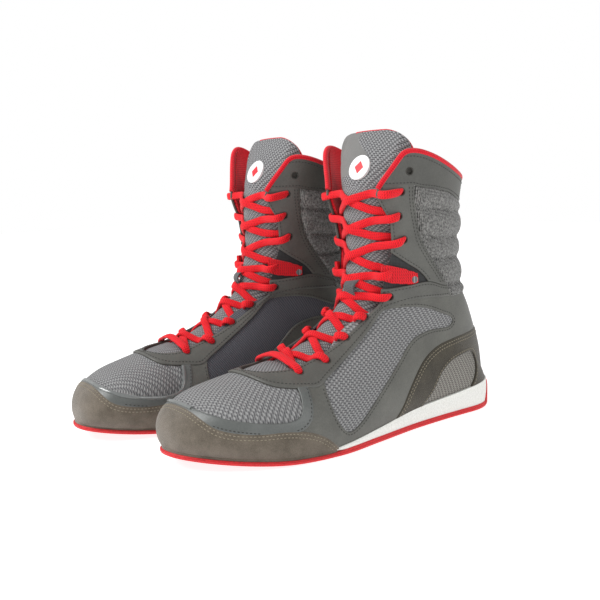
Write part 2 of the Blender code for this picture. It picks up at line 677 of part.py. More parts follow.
def build_upper(boot, sheet, coarse):
    """The panels; edges that neighbours share are clipped in the same order in both of them."""
    lining = cut(coarse, inside(COLLAR, -2.4), behind_throat(LINING_BACK))
    boot.piece("lining", thicken(lining, LINING_IN, LINING_OUT), "red_lining")
    boot.piece("toe_bumper", thicken(cut(sheet, inside(BUMPER)), SHELL_IN, SUEDE_OUT), "suede")
    front = cut(sheet, outside(ABOVE_STAY_EDGE), outside(BUMPER))
    boot.piece("vamp_mesh", thicken(cut(front, inside(VAMP)), SHELL_IN, MESH_OUT), "mesh")
    trim = cut(front, outside(VAMP), inside(VAMP, TRIM_WIDTH))
    boot.piece("vamp_trim", thicken(trim, SHELL_IN, LEATHER_OUT), "gloss_trim")
    stay = cut(sheet, outside(BEHIND_STAY), inside(ABOVE_STAY_EDGE), inside(BELOW_ANKLE), behind_throat())
    laced = eyelets(EYELETS, 1) + eyelets(EYELETS, -1)
    boot.piece("eyestay", thicken(stay, SHELL_IN, LEATHER_OUT), "leather", laced)
    counter = cut(sheet, inside(SUEDE), outside(HEEL_WINDOW))
    boot.piece("heel_counter_cover", thicken(counter, SHELL_IN, SUEDE_OUT), "suede")
    quilt = cut(sheet, outside(BAND), inside(BEHIND_STAY), inside(ABOVE_STAY_EDGE))
    boot.piece("ankle_quilt", thicken(quilt, SHELL_IN, QUILT_OUT), "mesh")
    band = cut(sheet, inside(BAND), inside(COLLAR, -2.4), behind_throat())
    spare = eyelets([SPARE_EYELET], 1) + eyelets([SPARE_EYELET], -1)
    boot.piece("collar_band", thicken(band, SHELL_IN, LEATHER_OUT), "leather", spare)
    boot.piece("collar_piping", collar_piping(), "red_lining")
    panel = cut(front, outside(VAMP, TRIM_WIDTH), outside(WINDOW), outside(SUEDE))
    window = cut(front, inside(WINDOW))
    heel_window = cut(sheet, inside(HEEL_WINDOW))
    shaft = cut(sheet, outside(BAND), outside(BEHIND_STAY), outside(BELOW_ANKLE), inside(ABOVE_NOTCH),
                behind_throat())
    for side, word in ((1, "lateral"), (-1, "medial")):
        half = one_side(side)
        boot.piece(f"quarter_{word}", thicken(cut(panel, half), SHELL_IN, LEATHER_OUT), "leather")
        boot.piece(f"quarter_mesh_{word}", thicken(cut(window, half), SHELL_IN, MESH_OUT), "mesh")
        boot.piece(f"heel_mesh_{word}", thicken(cut(heel_window, half), SHELL_IN, MESH_OUT), "mesh")
        stay = thicken(cut(shaft, half), SHELL_IN, LEATHER_OUT)
        boot.piece(f"shaft_eyestay_{word}", stay, "leather", eyelets(SHAFT_EYELETS, side))
        boot.piece(f"ankle_loop_{word}", ankle_loop(side), "red_lace", eyelets([LOOP_EYE], side))


def ankle_loop(side):
    """A tab of webbing in the notch at the ankle; the lace runs through the eye at its front end."""
    sections = []
    for (a, z), half in zip(LOOP_ROUTE, (3.6, 4.4, 5.0, 5.4, 4.2)):
        top, n_top, _ = on_surface(a, z + half, side)
        low, n_low, _ = on_surface(a, z - half, side)
        ring = [top + n_top * SHELL_IN, low + n_low * SHELL_IN, low + n_low * 0.9, top + n_top * 0.9]
        sections.append(ring)
    return slab(sections)


def collar_piping():
    """A round cord sewn along the top edge, from one front corner round the back to the other."""
    spots = [(137, 184), (133.5, 191), (130.5, 197.5), (126, 203), (116, 211), (103, 214.5), (88, 212.5),
             (71, 206), (52, 196), (39, 190.5), (31, 188.5)]
    outer = [on_surface(a, z - 0.4, 1)[0] for a, z in spots]
    inner = [on_surface(a, z - 0.4, -1)[0] for a, z in spots]
    return tube(np.array(outer + inner[::-1]), PIPING_R, 6)


def build_tongue(boot):
    top = len(TONGUE_PATH) - 1
    boot.piece("tongue", tongue_solid(0.0, FOLD_V, 13, 0.0, FOLD_GAP / 2), "mesh")
    boot.piece("tongue_flap", tongue_solid(FOLD_V, top, 6, FOLD_GAP / 2, 0.0), "mesh")
    v = tongue_at(121, 198)
    middle = tongue_point(v, 0.0, -0.25)
    normal = middle - tongue_point(v, 0.0, 1.0)
    normal /= np.linalg.norm(normal)
    disc = tube([middle + normal * 0.15, middle + normal * 1.5], BADGE_R, 24)
    boot.piece("tongue_badge", disc, "white_badge")
    build_loop(boot)


def build_loop(boot):
    """A band of webbing sewn across the tongue that keeps it centred under the lace."""
    v = tongue_at(132, 106)
    half, thick = 4.5, 1.2
    rings = []
    for dv, lift in ((-0.3, 1.5), (-0.15, 1.8), (0.15, 1.8), (0.3, 1.5)):
        corners = [(-1, lift), (1, lift), (1, lift + thick), (-1, lift + thick)]
        rings.append([tongue_point(v + dv, u * half / 24, -d) for u, d in corners])
    boot.piece("tongue_loop", slab(rings), "webbing")


def build_lace(boot):
    boot.piece("lace", tube(lace_path(), LACE_R, 4), "red_lace")


def build_pair():
    for obj in list(bpy.data.objects):
        bpy.data.objects.remove(obj)
    sheet = base_grid(11, 12, 7, 8)
    coarse = base_grid(9, 12, 7, 6)
    left = Matrix.Translation((BOOT_X * MM, 0.0, 0.0))
    right = Matrix.Translation((RIGHT_X * MM, RIGHT_Y * MM, 0.0))
    right = right @ Matrix.Rotation(math.radians(RIGHT_YAW), 4, "Z")
    for name, sign, place in (("left", 1, left), ("right", -1, right)):
        boot = Boot(name, sign, place)
        build_sole(boot)
        build_upper(boot, sheet, coarse)
        build_tongue(boot)
        build_lace(boot)
    centre_pair()


def centre_pair():
    """Moves the pair so that the middle of its base is the origin."""
    corners = [obj.matrix_world @ Vector(c) for obj in bpy.data.objects for c in obj.bound_box]
    low = [min(c[i] for c in corners) for i in range(3)]
    high = [max(c[i] for c in corners) for i in range(3)]
    shift = Matrix.Translation((-(low[0] + high[0]) / 2, -(low[1] + high[1]) / 2, -low[2]))
    for obj in bpy.data.objects:
        obj.data.transform(shift)


build_pair()
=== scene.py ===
"""The looks of the pair of boxing boots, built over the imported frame.

Every panel is cut from one fine sheet that follows the same surface as the solids, in the boot's own
frame: millimetres, x to the wearer's outer side, a forward from the heel, z up. Shapes are placed as they
are for the left boot and mirrored for the right one. Most are made once for both, but the tongues, their
piping and badges and the keepers differ, and one front corner of each collar is raised.
"""

import json
import math

import bpy
import numpy as np
from mathutils import Matrix, Vector


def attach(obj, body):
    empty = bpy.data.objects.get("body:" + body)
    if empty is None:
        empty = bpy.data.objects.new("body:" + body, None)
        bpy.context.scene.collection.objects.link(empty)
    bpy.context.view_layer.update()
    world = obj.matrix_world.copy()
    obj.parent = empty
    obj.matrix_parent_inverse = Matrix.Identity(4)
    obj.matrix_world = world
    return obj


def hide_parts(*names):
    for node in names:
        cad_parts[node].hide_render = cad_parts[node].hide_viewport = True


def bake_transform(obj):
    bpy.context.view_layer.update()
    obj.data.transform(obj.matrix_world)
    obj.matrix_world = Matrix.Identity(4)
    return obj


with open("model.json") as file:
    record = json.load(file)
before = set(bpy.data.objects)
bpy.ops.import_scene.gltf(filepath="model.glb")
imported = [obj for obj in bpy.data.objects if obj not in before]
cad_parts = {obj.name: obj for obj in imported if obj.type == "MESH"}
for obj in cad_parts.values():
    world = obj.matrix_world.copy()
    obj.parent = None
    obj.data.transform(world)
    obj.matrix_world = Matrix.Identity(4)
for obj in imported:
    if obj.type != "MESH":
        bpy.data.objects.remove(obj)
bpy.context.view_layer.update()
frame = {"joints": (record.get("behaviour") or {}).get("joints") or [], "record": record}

MM = 0.001
BOOTS = {"left": 1, "right": -1}
REST_A = 110.0             # each rest mount lies under the boot's middle line at this forward place
record = frame["record"]
mounts = {m["name"]: m["pos_m"] for m in record["mounts"]}
joints = {j["name"]: j for j in frame["joints"]}


def to_world(points, boot):
    """Points of the boot's own frame in the row frame, in metres."""
    axis = joints[f"{boot}_tongue_fold"]["axis"]
    cos, sin = axis[0], axis[1]
    p = np.asarray(points, float)
    x, y = p[:, 0] * BOOTS[boot] * MM, (REST_A - p[:, 1]) * MM
    origin = mounts[f"{boot}_sole_rest"]
    return np.stack([origin[0] + cos * x - sin * y, origin[1] + sin * x + cos * y, p[:, 2] * MM], -1)


# ---------------------------------------------------------------- the boot's surface
FOOT_LENGTH, HEEL_START, HEEL_ROUND, TOE_ROUND = 290.0, 3.0, 36.0, 74.0
MEDIAL_LEAN = 0.030
OUTSOLE_THICK, TOE_SPRING, SPRING_START = 4.6, 9.0, 200.0
CELL = 1.5                 # size of the fine sheet's cells
CELLS_Q = 66               # cells from the ridge down to the sole


def curve(knots, values):
    """A smooth curve through the values; it never overshoots them."""
    k = np.asarray(knots, float)
    v = np.asarray(values, float)
    rise = np.diff(v) / np.diff(k)
    slope = np.zeros_like(v)
    slope[0], slope[-1] = rise[0], rise[-1]
    for i in range(1, len(v) - 1):
        if rise[i - 1] * rise[i] > 0.0:
            mean = (v[i + 1] - v[i - 1]) / (k[i + 1] - k[i - 1])
            limit = 3.0 * min(abs(rise[i - 1]), abs(rise[i]))
            slope[i] = math.copysign(min(abs(mean), limit), mean)

    def value(x):
        x = np.clip(np.asarray(x, float), k[0], k[-1])
        i = np.clip(np.searchsorted(k, x, side="right") - 1, 0, len(k) - 2)
        h = k[i + 1] - k[i]
        t = (x - k[i]) / h
        s = t * t * (3.0 - 2.0 * t)
        a = v[i] * (1.0 - s) + v[i + 1] * s
        return a + h * t * (1.0 - t) * (slope[i] * (1.0 - t) - slope[i + 1] * t)

    return value


def ease(value, start, end):
    """Rises smoothly from 0 at start to 1 at end."""
    t = np.clip((value - start) / (end - start), 0.0, 1.0)
    return t * t * (3 - 2 * t)


def rounded_ends(a):
    """Narrows a plan outline to nothing at the heel and the toe."""
    heel = np.clip((HEEL_START + HEEL_ROUND - a) / HEEL_ROUND, 0.0, 1.0)
    toe = np.clip((a - FOOT_LENGTH + TOE_ROUND) / TOE_ROUND, 0.0, 1.0)
    return (1.0 - heel**2.25) ** (1 / 2.25) * (1.0 - toe**2.25) ** (1 / 2.25)


plan_outer = curve([0, 30, 70, 110, 150, 190, 225, 250, 290], [32, 33, 33.5, 36, 42, 48, 47.5, 44, 36])
plan_inner = curve([0, 30, 70, 110, 150, 185, 210, 240, 290], [31, 31, 29, 28, 34, 44, 46, 42, 33])
centre_bend = curve([0, 60, 120, 170, 210, 250, 290], [0, 0, 0, -1, -4, -9, -15])
wedge_top = curve([0, 30, 60, 105, 150, 190, 200], [22.5, 20.5, 17.5, 14.5, 9.5, 5.6, 5.0])


def sole_width(a, side):
    return (plan_outer(a) if side > 0 else plan_inner(a)) * rounded_ends(a)


def ground(a):
    toe = np.clip((a - SPRING_START) / (FOOT_LENGTH - SPRING_START), 0.0, 1.2)
    return TOE_SPRING * toe**1.8


def feather(a):
    """Height of the line where the upper meets the sole."""
    return np.maximum(wedge_top(a), ground(a) + OUTSOLE_THICK + 0.9)


STATIONS, HEEL_STATION = 17, 11
k_all = np.arange(STATIONS + 1)
RIDGE = [(290, 14.5), (288.5, 28), (281, 39), (265, 48), (244, 54), (221, 59.5), (198, 64.5), (175, 73),
         (155, 85), (143, 97), (136, 108), (138, 121), (142, 137), (144, 155), (145, 173), (145, 191),
         (143, 210), (141, 232)]
BASE_A = [290, 287, 277, 259, 234, 207, 175, 140, 103, 63, 26, 3, 5.5, 15.5, 29, 32, 30, 25]
BACK_Z = [44, 74, 101, 129, 162, 196]
HALF_OUTER = [0, 17, 31, 42, 48.5, 50, 48, 44.5, 41.5, 39.5, 38.5, 38, 37.5, 37, 37.5, 38.5, 42, 47]
HALF_INNER = [0, 16, 29, 39, 44.5, 46, 44, 40, 38, 37, 36.5, 36.5, 36.5, 36.5, 37, 38, 42, 47]
FULLNESS = [0.95, 0.85, 0.8, 0.8, 0.85, 0.92, 0.97, 1, 1, 1, 1, 0.97, 0.95, 0.92, 0.9, 0.9, 0.9, 0.9]

ridge_a = curve(k_all, [p[0] for p in RIDGE])
ridge_z = curve(k_all, [p[1] for p in RIDGE])
base_a = curve(k_all, BASE_A)
base_z = curve(k_all, [float(feather(a)) for a in BASE_A[: HEEL_STATION + 1]] + BACK_Z)
half_outer = curve(k_all, HALF_OUTER)
half_inner = curve(k_all, HALF_INNER)
fullness = curve(k_all, FULLNESS)


def centre(a, z):
    return centre_bend(a) - MEDIAL_LEAN * z


def surface(k, q, side):
    """Points of the upper: k is the station, q runs from the ridge (0) to the sole or back seam (1)."""
    k, q = np.broadcast_arrays(np.asarray(k, float), np.asarray(q, float))
    p = fullness(k)
    half = np.maximum(half_outer(k) if side > 0 else half_inner(k), 1e-6)
    foot_a = base_a(k)
    foot = np.where(k < HEEL_STATION, sole_width(foot_a, side), 0.0)
    foot_z = np.where(k < HEEL_STATION, feather(foot_a), base_z(k))
    end = math.pi - np.arcsin(np.clip(foot / half, 0.0, 1.0) ** (1.0 / p))
    angle = q * end
    g = (1.0 - np.cos(angle)) / (1.0 - np.cos(end))
    a = ridge_a(k) + (foot_a - ridge_a(k)) * g
    z = ridge_z(k) + (foot_z - ridge_z(k)) * g
    x = centre(a, z) + side * half * np.sin(np.clip(angle, 0.0, math.pi)) ** p
    return np.stack([x, a, z], -1)


def on_surface(a, z, side):
    """The point of the upper at side-view place (a, z), its outward normal and the way to the throat."""
    ks = np.linspace(0.5, STATIONS, 400)
    ra, rz, ba, bz = ridge_a(ks), ridge_z(ks), base_a(ks), base_z(ks)
    cross = (a - ra) * (bz - rz) - (z - rz) * (ba - ra)
    cross /= np.hypot(ba - ra, bz - rz)
    k = ks[int(np.argmin(np.abs(cross)))]
    qs = np.linspace(0.0, 1.0, 600)
    line = surface(np.full_like(qs, k), qs, side)
    j = int(np.argmin((line[:, 1] - a) ** 2 + (line[:, 2] - z) ** 2))
    q = qs[j]
    along = surface(k + 0.05, q, side) - surface(k - 0.05, q, side)
    across = surface(k, min(q + 0.01, 1.0), side) - surface(k, q - 0.01, side)
    normal = np.cross(along, across) * side
    normal /= np.linalg.norm(normal)
    return line[j], normal, -across / np.linalg.norm(across)


# ---------------------------------------------------------------- outlines in side view
FAR = 60.0                 # beyond the boot: outlines close out there
LONGEST_REACH = 40.0       # limits how far a long straight stretch bends an outline


def smooth_step(before, start, end, after, reach, shares):
    """Points from start to end on a smooth curve that comes from before and goes on to after."""
    leave = (end - before) / max(np.linalg.norm(end - before), 1e-9) * reach
    arrive = (after - start) / max(np.linalg.norm(after - start), 1e-9) * reach
    made = []
    for f in shares:
        s = f * f * (3 - 2 * f)
        made.append(start * (1 - s) + end * s + f * (1 - f) * (leave * (1 - f) - arrive * f))
    return made


def smooth_outline(points):
    """A closed smooth curve through the points, as a fine polygon."""
    pts = np.asarray(points, float)
    made = []
    for i in range(len(pts)):
        near = [pts[(i + j) % len(pts)] for j in (-1, 0, 1, 2)]
        reach = min(np.linalg.norm(near[2] - near[1]), LONGEST_REACH)
        made += smooth_step(*near, reach, np.arange(0.0, 1.0, 1 / 6))
    return np.array(made)


OUTLINES = {
    "collar": [(160, 165), (140, 178), (133.5, 190), (126, 200.5), (116, 207.5), (103, 209.5), (88, 206),
               (71, 199.5), (52, 192), (36, 187.5), (22, 186), (0, 185.5), (-FAR, 185), (-FAR, -FAR),
               (330, -FAR), (330, 60), (240, 150)],
    "bumper": [(280, 60), (278.5, 41), (275, 34), (268, 29.5), (250, 26.5), (228, 25), (210, 20.5),
               (197, 13), (188, 3), (185, -20), (250, -25), (315, -20), (315, 30), (300, 62)],
    "vamp": [(279.5, 75), (277.5, 43), (270, 38), (258, 34.5), (241, 31.5), (226, 30.5), (218, 33),
             (214, 40), (211.5, 50), (210, 70), (230, 90), (265, 90)],
    "stay": [(236, 300), (236, 75), (234.5, 58), (228, 52), (218, 49.5), (205, 48), (195, 47.5),
             (186.5, 51.7), (167, 61.5), (141.5, 77), (127, 88.5), (114, 95.5), (98, 98.5), (68, 97.5),
             (30, 97), (-FAR, 97), (-FAR, 300)],
    "ankle": [(-FAR, 105), (40, 105), (69, 106), (87, 111), (107, 109.5), (122, 108), (136, 108),
              (200, 108), (300, 108), (300, -FAR), (-FAR, -FAR)],
    "notch": [(175, 160), (150, 152), (128, 143), (120, 136.5), (106, 126.5), (95, 119.5), (88, 112),
              (80, 98), (60, 60), (-FAR, 60), (-FAR, 320), (175, 320)],
    "rear": [(101.5, 300), (101.5, 215), (101, 184), (99.5, 169), (97, 156), (94, 144), (87, 133),
             (79, 122), (70, 110.5), (66, 103), (64, 93), (62, 60), (-FAR, 60), (-FAR, 300)],
    "window": [(62, 77), (86, 73.5), (105, 68), (122, 55), (141, 40), (160, 25), (172, 17), (181, 15.5),
               (189, 25), (191.5, 42), (187, 54), (173, 64.5), (151, 80), (129, 90), (111, 93), (94, 92),
               (76, 86)],
    "suede": [(142, -8), (138, 3), (124, 19), (114, 35), (98, 52), (80, 61), (62, 64.5), (35, 66), (0, 67),
              (-30, 68), (-30, -10), (60, -14)],
    "heel_window": [(101, 2), (99, 13), (88, 25), (77, 40), (64, 47.5), (44, 50), (35, 47.5), (33, 37),
                    (39, 22), (47, 8), (48, 2), (75, -3)],
}
BAND = [(180, 184), (101, 184), (97, 182.5), (83, 181), (66, 178), (49, 172), (30, 166), (0, 160),
        (-FAR, 158), (-FAR, 260), (180, 260)]
EYELETS = [(202, 56.5), (180, 61.5), (157.5, 74.5), (138, 87.5), (118, 102)]
LOOP_EYE = (118, 119)
LOOP_ROUTE = [(97.5, 114.3), (104, 115.6), (111, 117.2), (118, 119), (124, 120.6)]
SHAFT_EYELETS = [(109, 144), (113, 162), (111.5, 179.5)]
SPARE_EYELET = (106, 194)
HOLE_R = 2.5
throat_half = curve([50, 57, 65, 75, 90, 105, 120, 136, 150, 180, 190, 215],
                    [19, 20, 20.5, 20.5, 21, 23, 26.5, 30, 31.5, 32.5, 35, 43])
THROAT_FRONT, THROAT_ROUND = 229.0, 205.0


def polygon_field(pts, a, z):
    """Signed distance to a closed polygon in side view, negative inside it."""
    best = np.full(len(a), 1e9)
    inside = np.zeros(len(a), bool)
    for p, q in zip(pts, np.roll(pts, -1, 0)):
        d = q - p
        t = np.clip(((a - p[0]) * d[0] + (z - p[1]) * d[1]) / max(d @ d, 1e-9), 0, 1)
        best = np.minimum(best, (a - p[0] - t * d[0]) ** 2 + (z - p[1] - t * d[1]) ** 2)
        if p[1] != q[1]:
            inside ^= ((p[1] > z) != (q[1] > z)) & (a < p[0] + (z - p[1]) * d[0] / d[1])
    best = np.sqrt(best)
    return np.where(inside, -best, best)


# ---------------------------------------------------------------- the fine sheet
COLUMNS = ["x", "a", "z", "nx", "na", "nz", "behind", "back", "hole"] + list(OUTLINES) + ["band"]
COL = {name: i for i, name in enumerate(COLUMNS)}


def way_along(points):
    """The length along a run of points, at each of them."""
    return np.concatenate([[0.0], np.cumsum(np.linalg.norm(np.diff(points, axis=0), axis=1))])


def even_stations():
    """Stations that are about one cell apart where the surface is widest."""
    fine = np.linspace(0.0, STATIONS, 3000)
    ridge_step = np.hypot(np.diff(ridge_a(fine)), np.diff(ridge_z(fine)))
    base_step = np.hypot(np.diff(base_a(fine)), np.diff(base_z(fine)))
    way = np.concatenate([[0.0], np.cumsum(np.maximum(ridge_step, base_step))])
    return np.interp(np.linspace(0.0, way[-1], int(way[-1] / CELL)), way, fine)


def throat_edge(ks, p, arc):
    """The arc length from the ridge to the throat's edge, for each station."""
    front = np.clip((p[..., 1] - THROAT_ROUND) / (THROAT_FRONT - THROAT_ROUND), 0.0, 1.0)
    collar_lap = np.interp(p[..., 2], [160, 178, 190, 200, 215], [0.0, 4.5, 2.8, 1.5, 0.5])
    half = (throat_half(p[..., 2]) - collar_lap) * np.sqrt(1.0 - front**2)
    over = np.abs(p[..., 0] - centre(p[..., 1], p[..., 2])) - half
    rows = np.arange(len(ks))
    first = np.argmax(over > 0, axis=1)
    before = np.maximum(first - 1, 0)
    gap = over[rows, before] - over[rows, first]
    wide = np.abs(gap) > 1e-9
    share = np.where(wide, over[rows, before] / np.where(wide, gap, 1.0), 0.0)
    edge = arc[rows, before] + np.clip(share, 0, 1) * (arc[rows, first] - arc[rows, before])
    return edge - np.maximum(ridge_a(ks) - THROAT_FRONT, 0.0)


def half_sheet(ks, side):
    """The table of one side of the upper, as a grid of stations by places from the ridge down."""
    p = surface(ks[:, None], np.linspace(0.0, 1.0, CELLS_Q + 1)[None, :], side)
    step = np.linalg.norm(np.diff(p, axis=1), axis=2)
    arc = np.concatenate([np.zeros((len(ks), 1)), np.cumsum(step, axis=1)], axis=1)
    table = np.zeros(p.shape[:2] + (len(COLUMNS),))
    table[..., :3] = p
    table[..., COL["behind"]] = arc - throat_edge(ks, p, arc)[:, None]
    table[..., COL["back"]] = side * (arc[:, -1:] - arc)
    return table


def grid_triangles(ks, n_q):
    """Triangles over the grid, which closes at the toe and, above the heel, along the back seam."""
    index = np.arange(len(ks) * n_q).reshape(len(ks), n_q)
    closed = ks >= HEEL_STATION
    index[closed, -1] = index[closed, 0]
    index[0, :] = index[0, 0]
    a, b, c, d = index[:-1, :-1], index[1:, :-1], index[1:, 1:], index[:-1, 1:]
    medial = (np.arange(n_q - 1) < n_q // 2)[None, :, None]
    first = np.where(medial, np.stack([a, b, c], -1), np.stack([a, b, d], -1)).reshape(-1, 3)
    second = np.where(medial, np.stack([a, c, d], -1), np.stack([b, c, d], -1)).reshape(-1, 3)
    tris = np.concatenate([first, second])
    return tris[(tris[:, 0] != tris[:, 1]) & (tris[:, 1] != tris[:, 2]) & (tris[:, 0] != tris[:, 2])]


def point_normals(points, tris):
    """The normal at each point, and the triangles, both turned to face out."""
    corner = points[tris]
    face_normals = np.cross(corner[:, 1] - corner[:, 0], corner[:, 2] - corner[:, 0])
    normals = np.zeros((len(points), 3))
    for j in range(3):
        np.add.at(normals, tris[:, j], face_normals)
    normals /= np.maximum(np.linalg.norm(normals, axis=1, keepdims=True), 1e-9)
    middle = centre(points[:, 1], points[:, 2])
    outward = np.stack([points[:, 0] - middle, points[:, 1] - 100.0, points[:, 2] - 60.0], -1)
    if np.sum(normals * outward) < 0:
        return -normals, tris[:, ::-1]
    return normals, tris


def make_sheet():
    """The whole upper as one triangulated sheet: a table with a row for each point, and the triangles.

    behind is how far a point lies behind the throat's edge, back its way round from the back seam, and
    hole its distance from the nearest eyelet. The outlines' columns hold signed distances to them.
    """
    ks = even_stations()
    inner, outer = (half_sheet(ks, side) for side in (-1, 1))
    grid = np.concatenate([inner[:, :0:-1], outer], axis=1)
    table = grid.reshape(-1, len(COLUMNS))
    table[:, 3:6], tris = point_normals(table[:, :3], grid_triangles(ks, grid.shape[1]))
    for name, points in OUTLINES.items():
        table[:, COL[name]] = polygon_field(smooth_outline(points), table[:, 1], table[:, 2])
    table[:, COL["band"]] = polygon_field(np.array(BAND, float), table[:, 1], table[:, 2])
    hole = np.full(len(table), 1e9)
    for place in EYELETS + SHAFT_EYELETS + [SPARE_EYELET]:
        for side in (1, -1):
            spot = on_surface(*place, side)[0]
            hole = np.minimum(hole, np.linalg.norm(table[:, :3] - spot, axis=1))
    table[:, COL["hole"]] = hole
    return table, tris


def split(table, tris, value):
    """Cuts triangles along value = 0; gives the table, the triangles below and above, and the cut's edges."""
    value = np.where(np.abs(value) < 0.004, -0.004, value)
    below = value < 0
    count = below[tris].sum(1)
    mixed = tris[(count == 1) | (count == 2)]
    low, high = tris[count == 3], tris[count == 0]
    if not len(mixed):
        return table, low, high, np.zeros((0, 2), int)
    status = below[mixed]
    single = status.sum(1) == 1
    odd = np.where(single, np.argmax(status, 1), np.argmax(~status, 1))
    rows = np.arange(len(mixed))
    o, b, c = (mixed[rows, (odd + s) % 3] for s in (0, 1, 2))
    pairs = np.sort(np.concatenate([np.stack([o, b], 1), np.stack([o, c], 1)]), 1)
    unique, back = np.unique(pairs, axis=0, return_inverse=True)
    back = back.ravel()
    i, j = unique[:, 0], unique[:, 1]
    t = (value[i] / (value[i] - value[j]))[:, None]
    made = table[i] * (1 - t) + table[j] * t
    m_b = back[: len(mixed)] + len(table)
    m_c = back[len(mixed):] + len(table)
    tip = np.stack([o, m_b, m_c], 1)
    rest = np.concatenate([np.stack([m_b, b, c], 1), np.stack([m_b, c, m_c], 1)])
    double = np.concatenate([single, single])
    low = np.concatenate([low, tip[single], rest[~double]])
    high = np.concatenate([high, tip[~single], rest[double]])
    return np.concatenate([table, made]), low, high, np.stack([m_b, m_c], 1)


def region(table, terms):
    """Greatest of the terms (column, sign, grow): negative inside the wanted region."""
    return np.max([sign * table[:, COL[name]] - grow for name, sign, grow in terms], axis=0)


def compact(table, tris):
    used, back = np.unique(tris, return_inverse=True)
    return table[used], back.reshape(-1, 3)


def cut_region(sheet, terms, levels=()):
    """The part of a sheet inside a region, with extra rings of points near its edge."""
    table, tris = sheet
    near = region(table, terms)
    table, tris = compact(table, tris[(near[tris] < 0.5).any(1)])
    for name, sign, grow in terms:
        table, tris, _, _ = split(table, tris, sign * table[:, COL[name]] - grow)
        table, tris = compact(table, tris)
    for level in levels:
        table, low, high, _ = split(table, tris, region(table, terms) + level)
        tris = np.concatenate([low, high])
    return table, tris


def boundary(tris):
    """The edges that belong to one triangle only, in their running direction."""
    edges = np.concatenate([tris[:, [0, 1]], tris[:, [1, 2]], tris[:, [2, 0]]])
    key = np.sort(edges, 1)
    _, first, count = np.unique(key, axis=0, return_index=True, return_counts=True)
    return edges[first[count == 1]]


def lip(depth, radius):
    """How far a rounded edge lies below the top at this distance from the edge."""
    t = np.clip(1.0 - depth / radius, 0.0, 1.0)
    return radius * (1.0 - np.sqrt(1.0 - t * t))


def shell(sheet, height, low):
    """A closed solid on a sheet; height gives the outer offset of each point."""
    table, tris = sheet
    p, n = table[:, :3], table[:, 3:6]
    count = len(p)
    points = np.concatenate([p + n * height[:, None], p + n * low])
    rim = boundary(tris)
    i, j = rim[:, 0], rim[:, 1]
    wall = np.concatenate([np.stack([i, i + count, j], 1), np.stack([j, i + count, j + count], 1)])
    faces = np.concatenate([tris, tris[:, ::-1] + count, wall])
    kind = np.concatenate([np.zeros(2 * len(tris), int), np.ones(len(wall), int)])
    return points, faces, kind


def chains(segments):
    """Joins loose segments into runs of point numbers."""
    links = {}
    for i, j in segments:
        links.setdefault(int(i), []).append(int(j))
        links.setdefault(int(j), []).append(int(i))
    left = set(links)
    runs = []
    for start in sorted(links, key=lambda i: (len(links[i]) != 1, i)):
        if start not in left:
            continue
        run = [start]
        left.discard(start)
        while True:
            ahead = [j for j in links[run[-1]] if j in left]
            if not ahead:
                break
            run.append(ahead[0])
            left.discard(ahead[0])
        if len(links[start]) == 2 and run[-1] in links[start] and len(run) > 2:
            run.append(start)
        runs.append(run)
    return runs


# ---------------------------------------------------------------- materials
def srgb(r, g, b):
    """A colour given in 8-bit display values, as the linear values a shader takes."""
    linear = [((c / 255 + 0.055) / 1.055) ** 2.4 if c > 10 else c / 255 / 12.92 for c in (r, g, b)]
    return (*linear, 1.0)


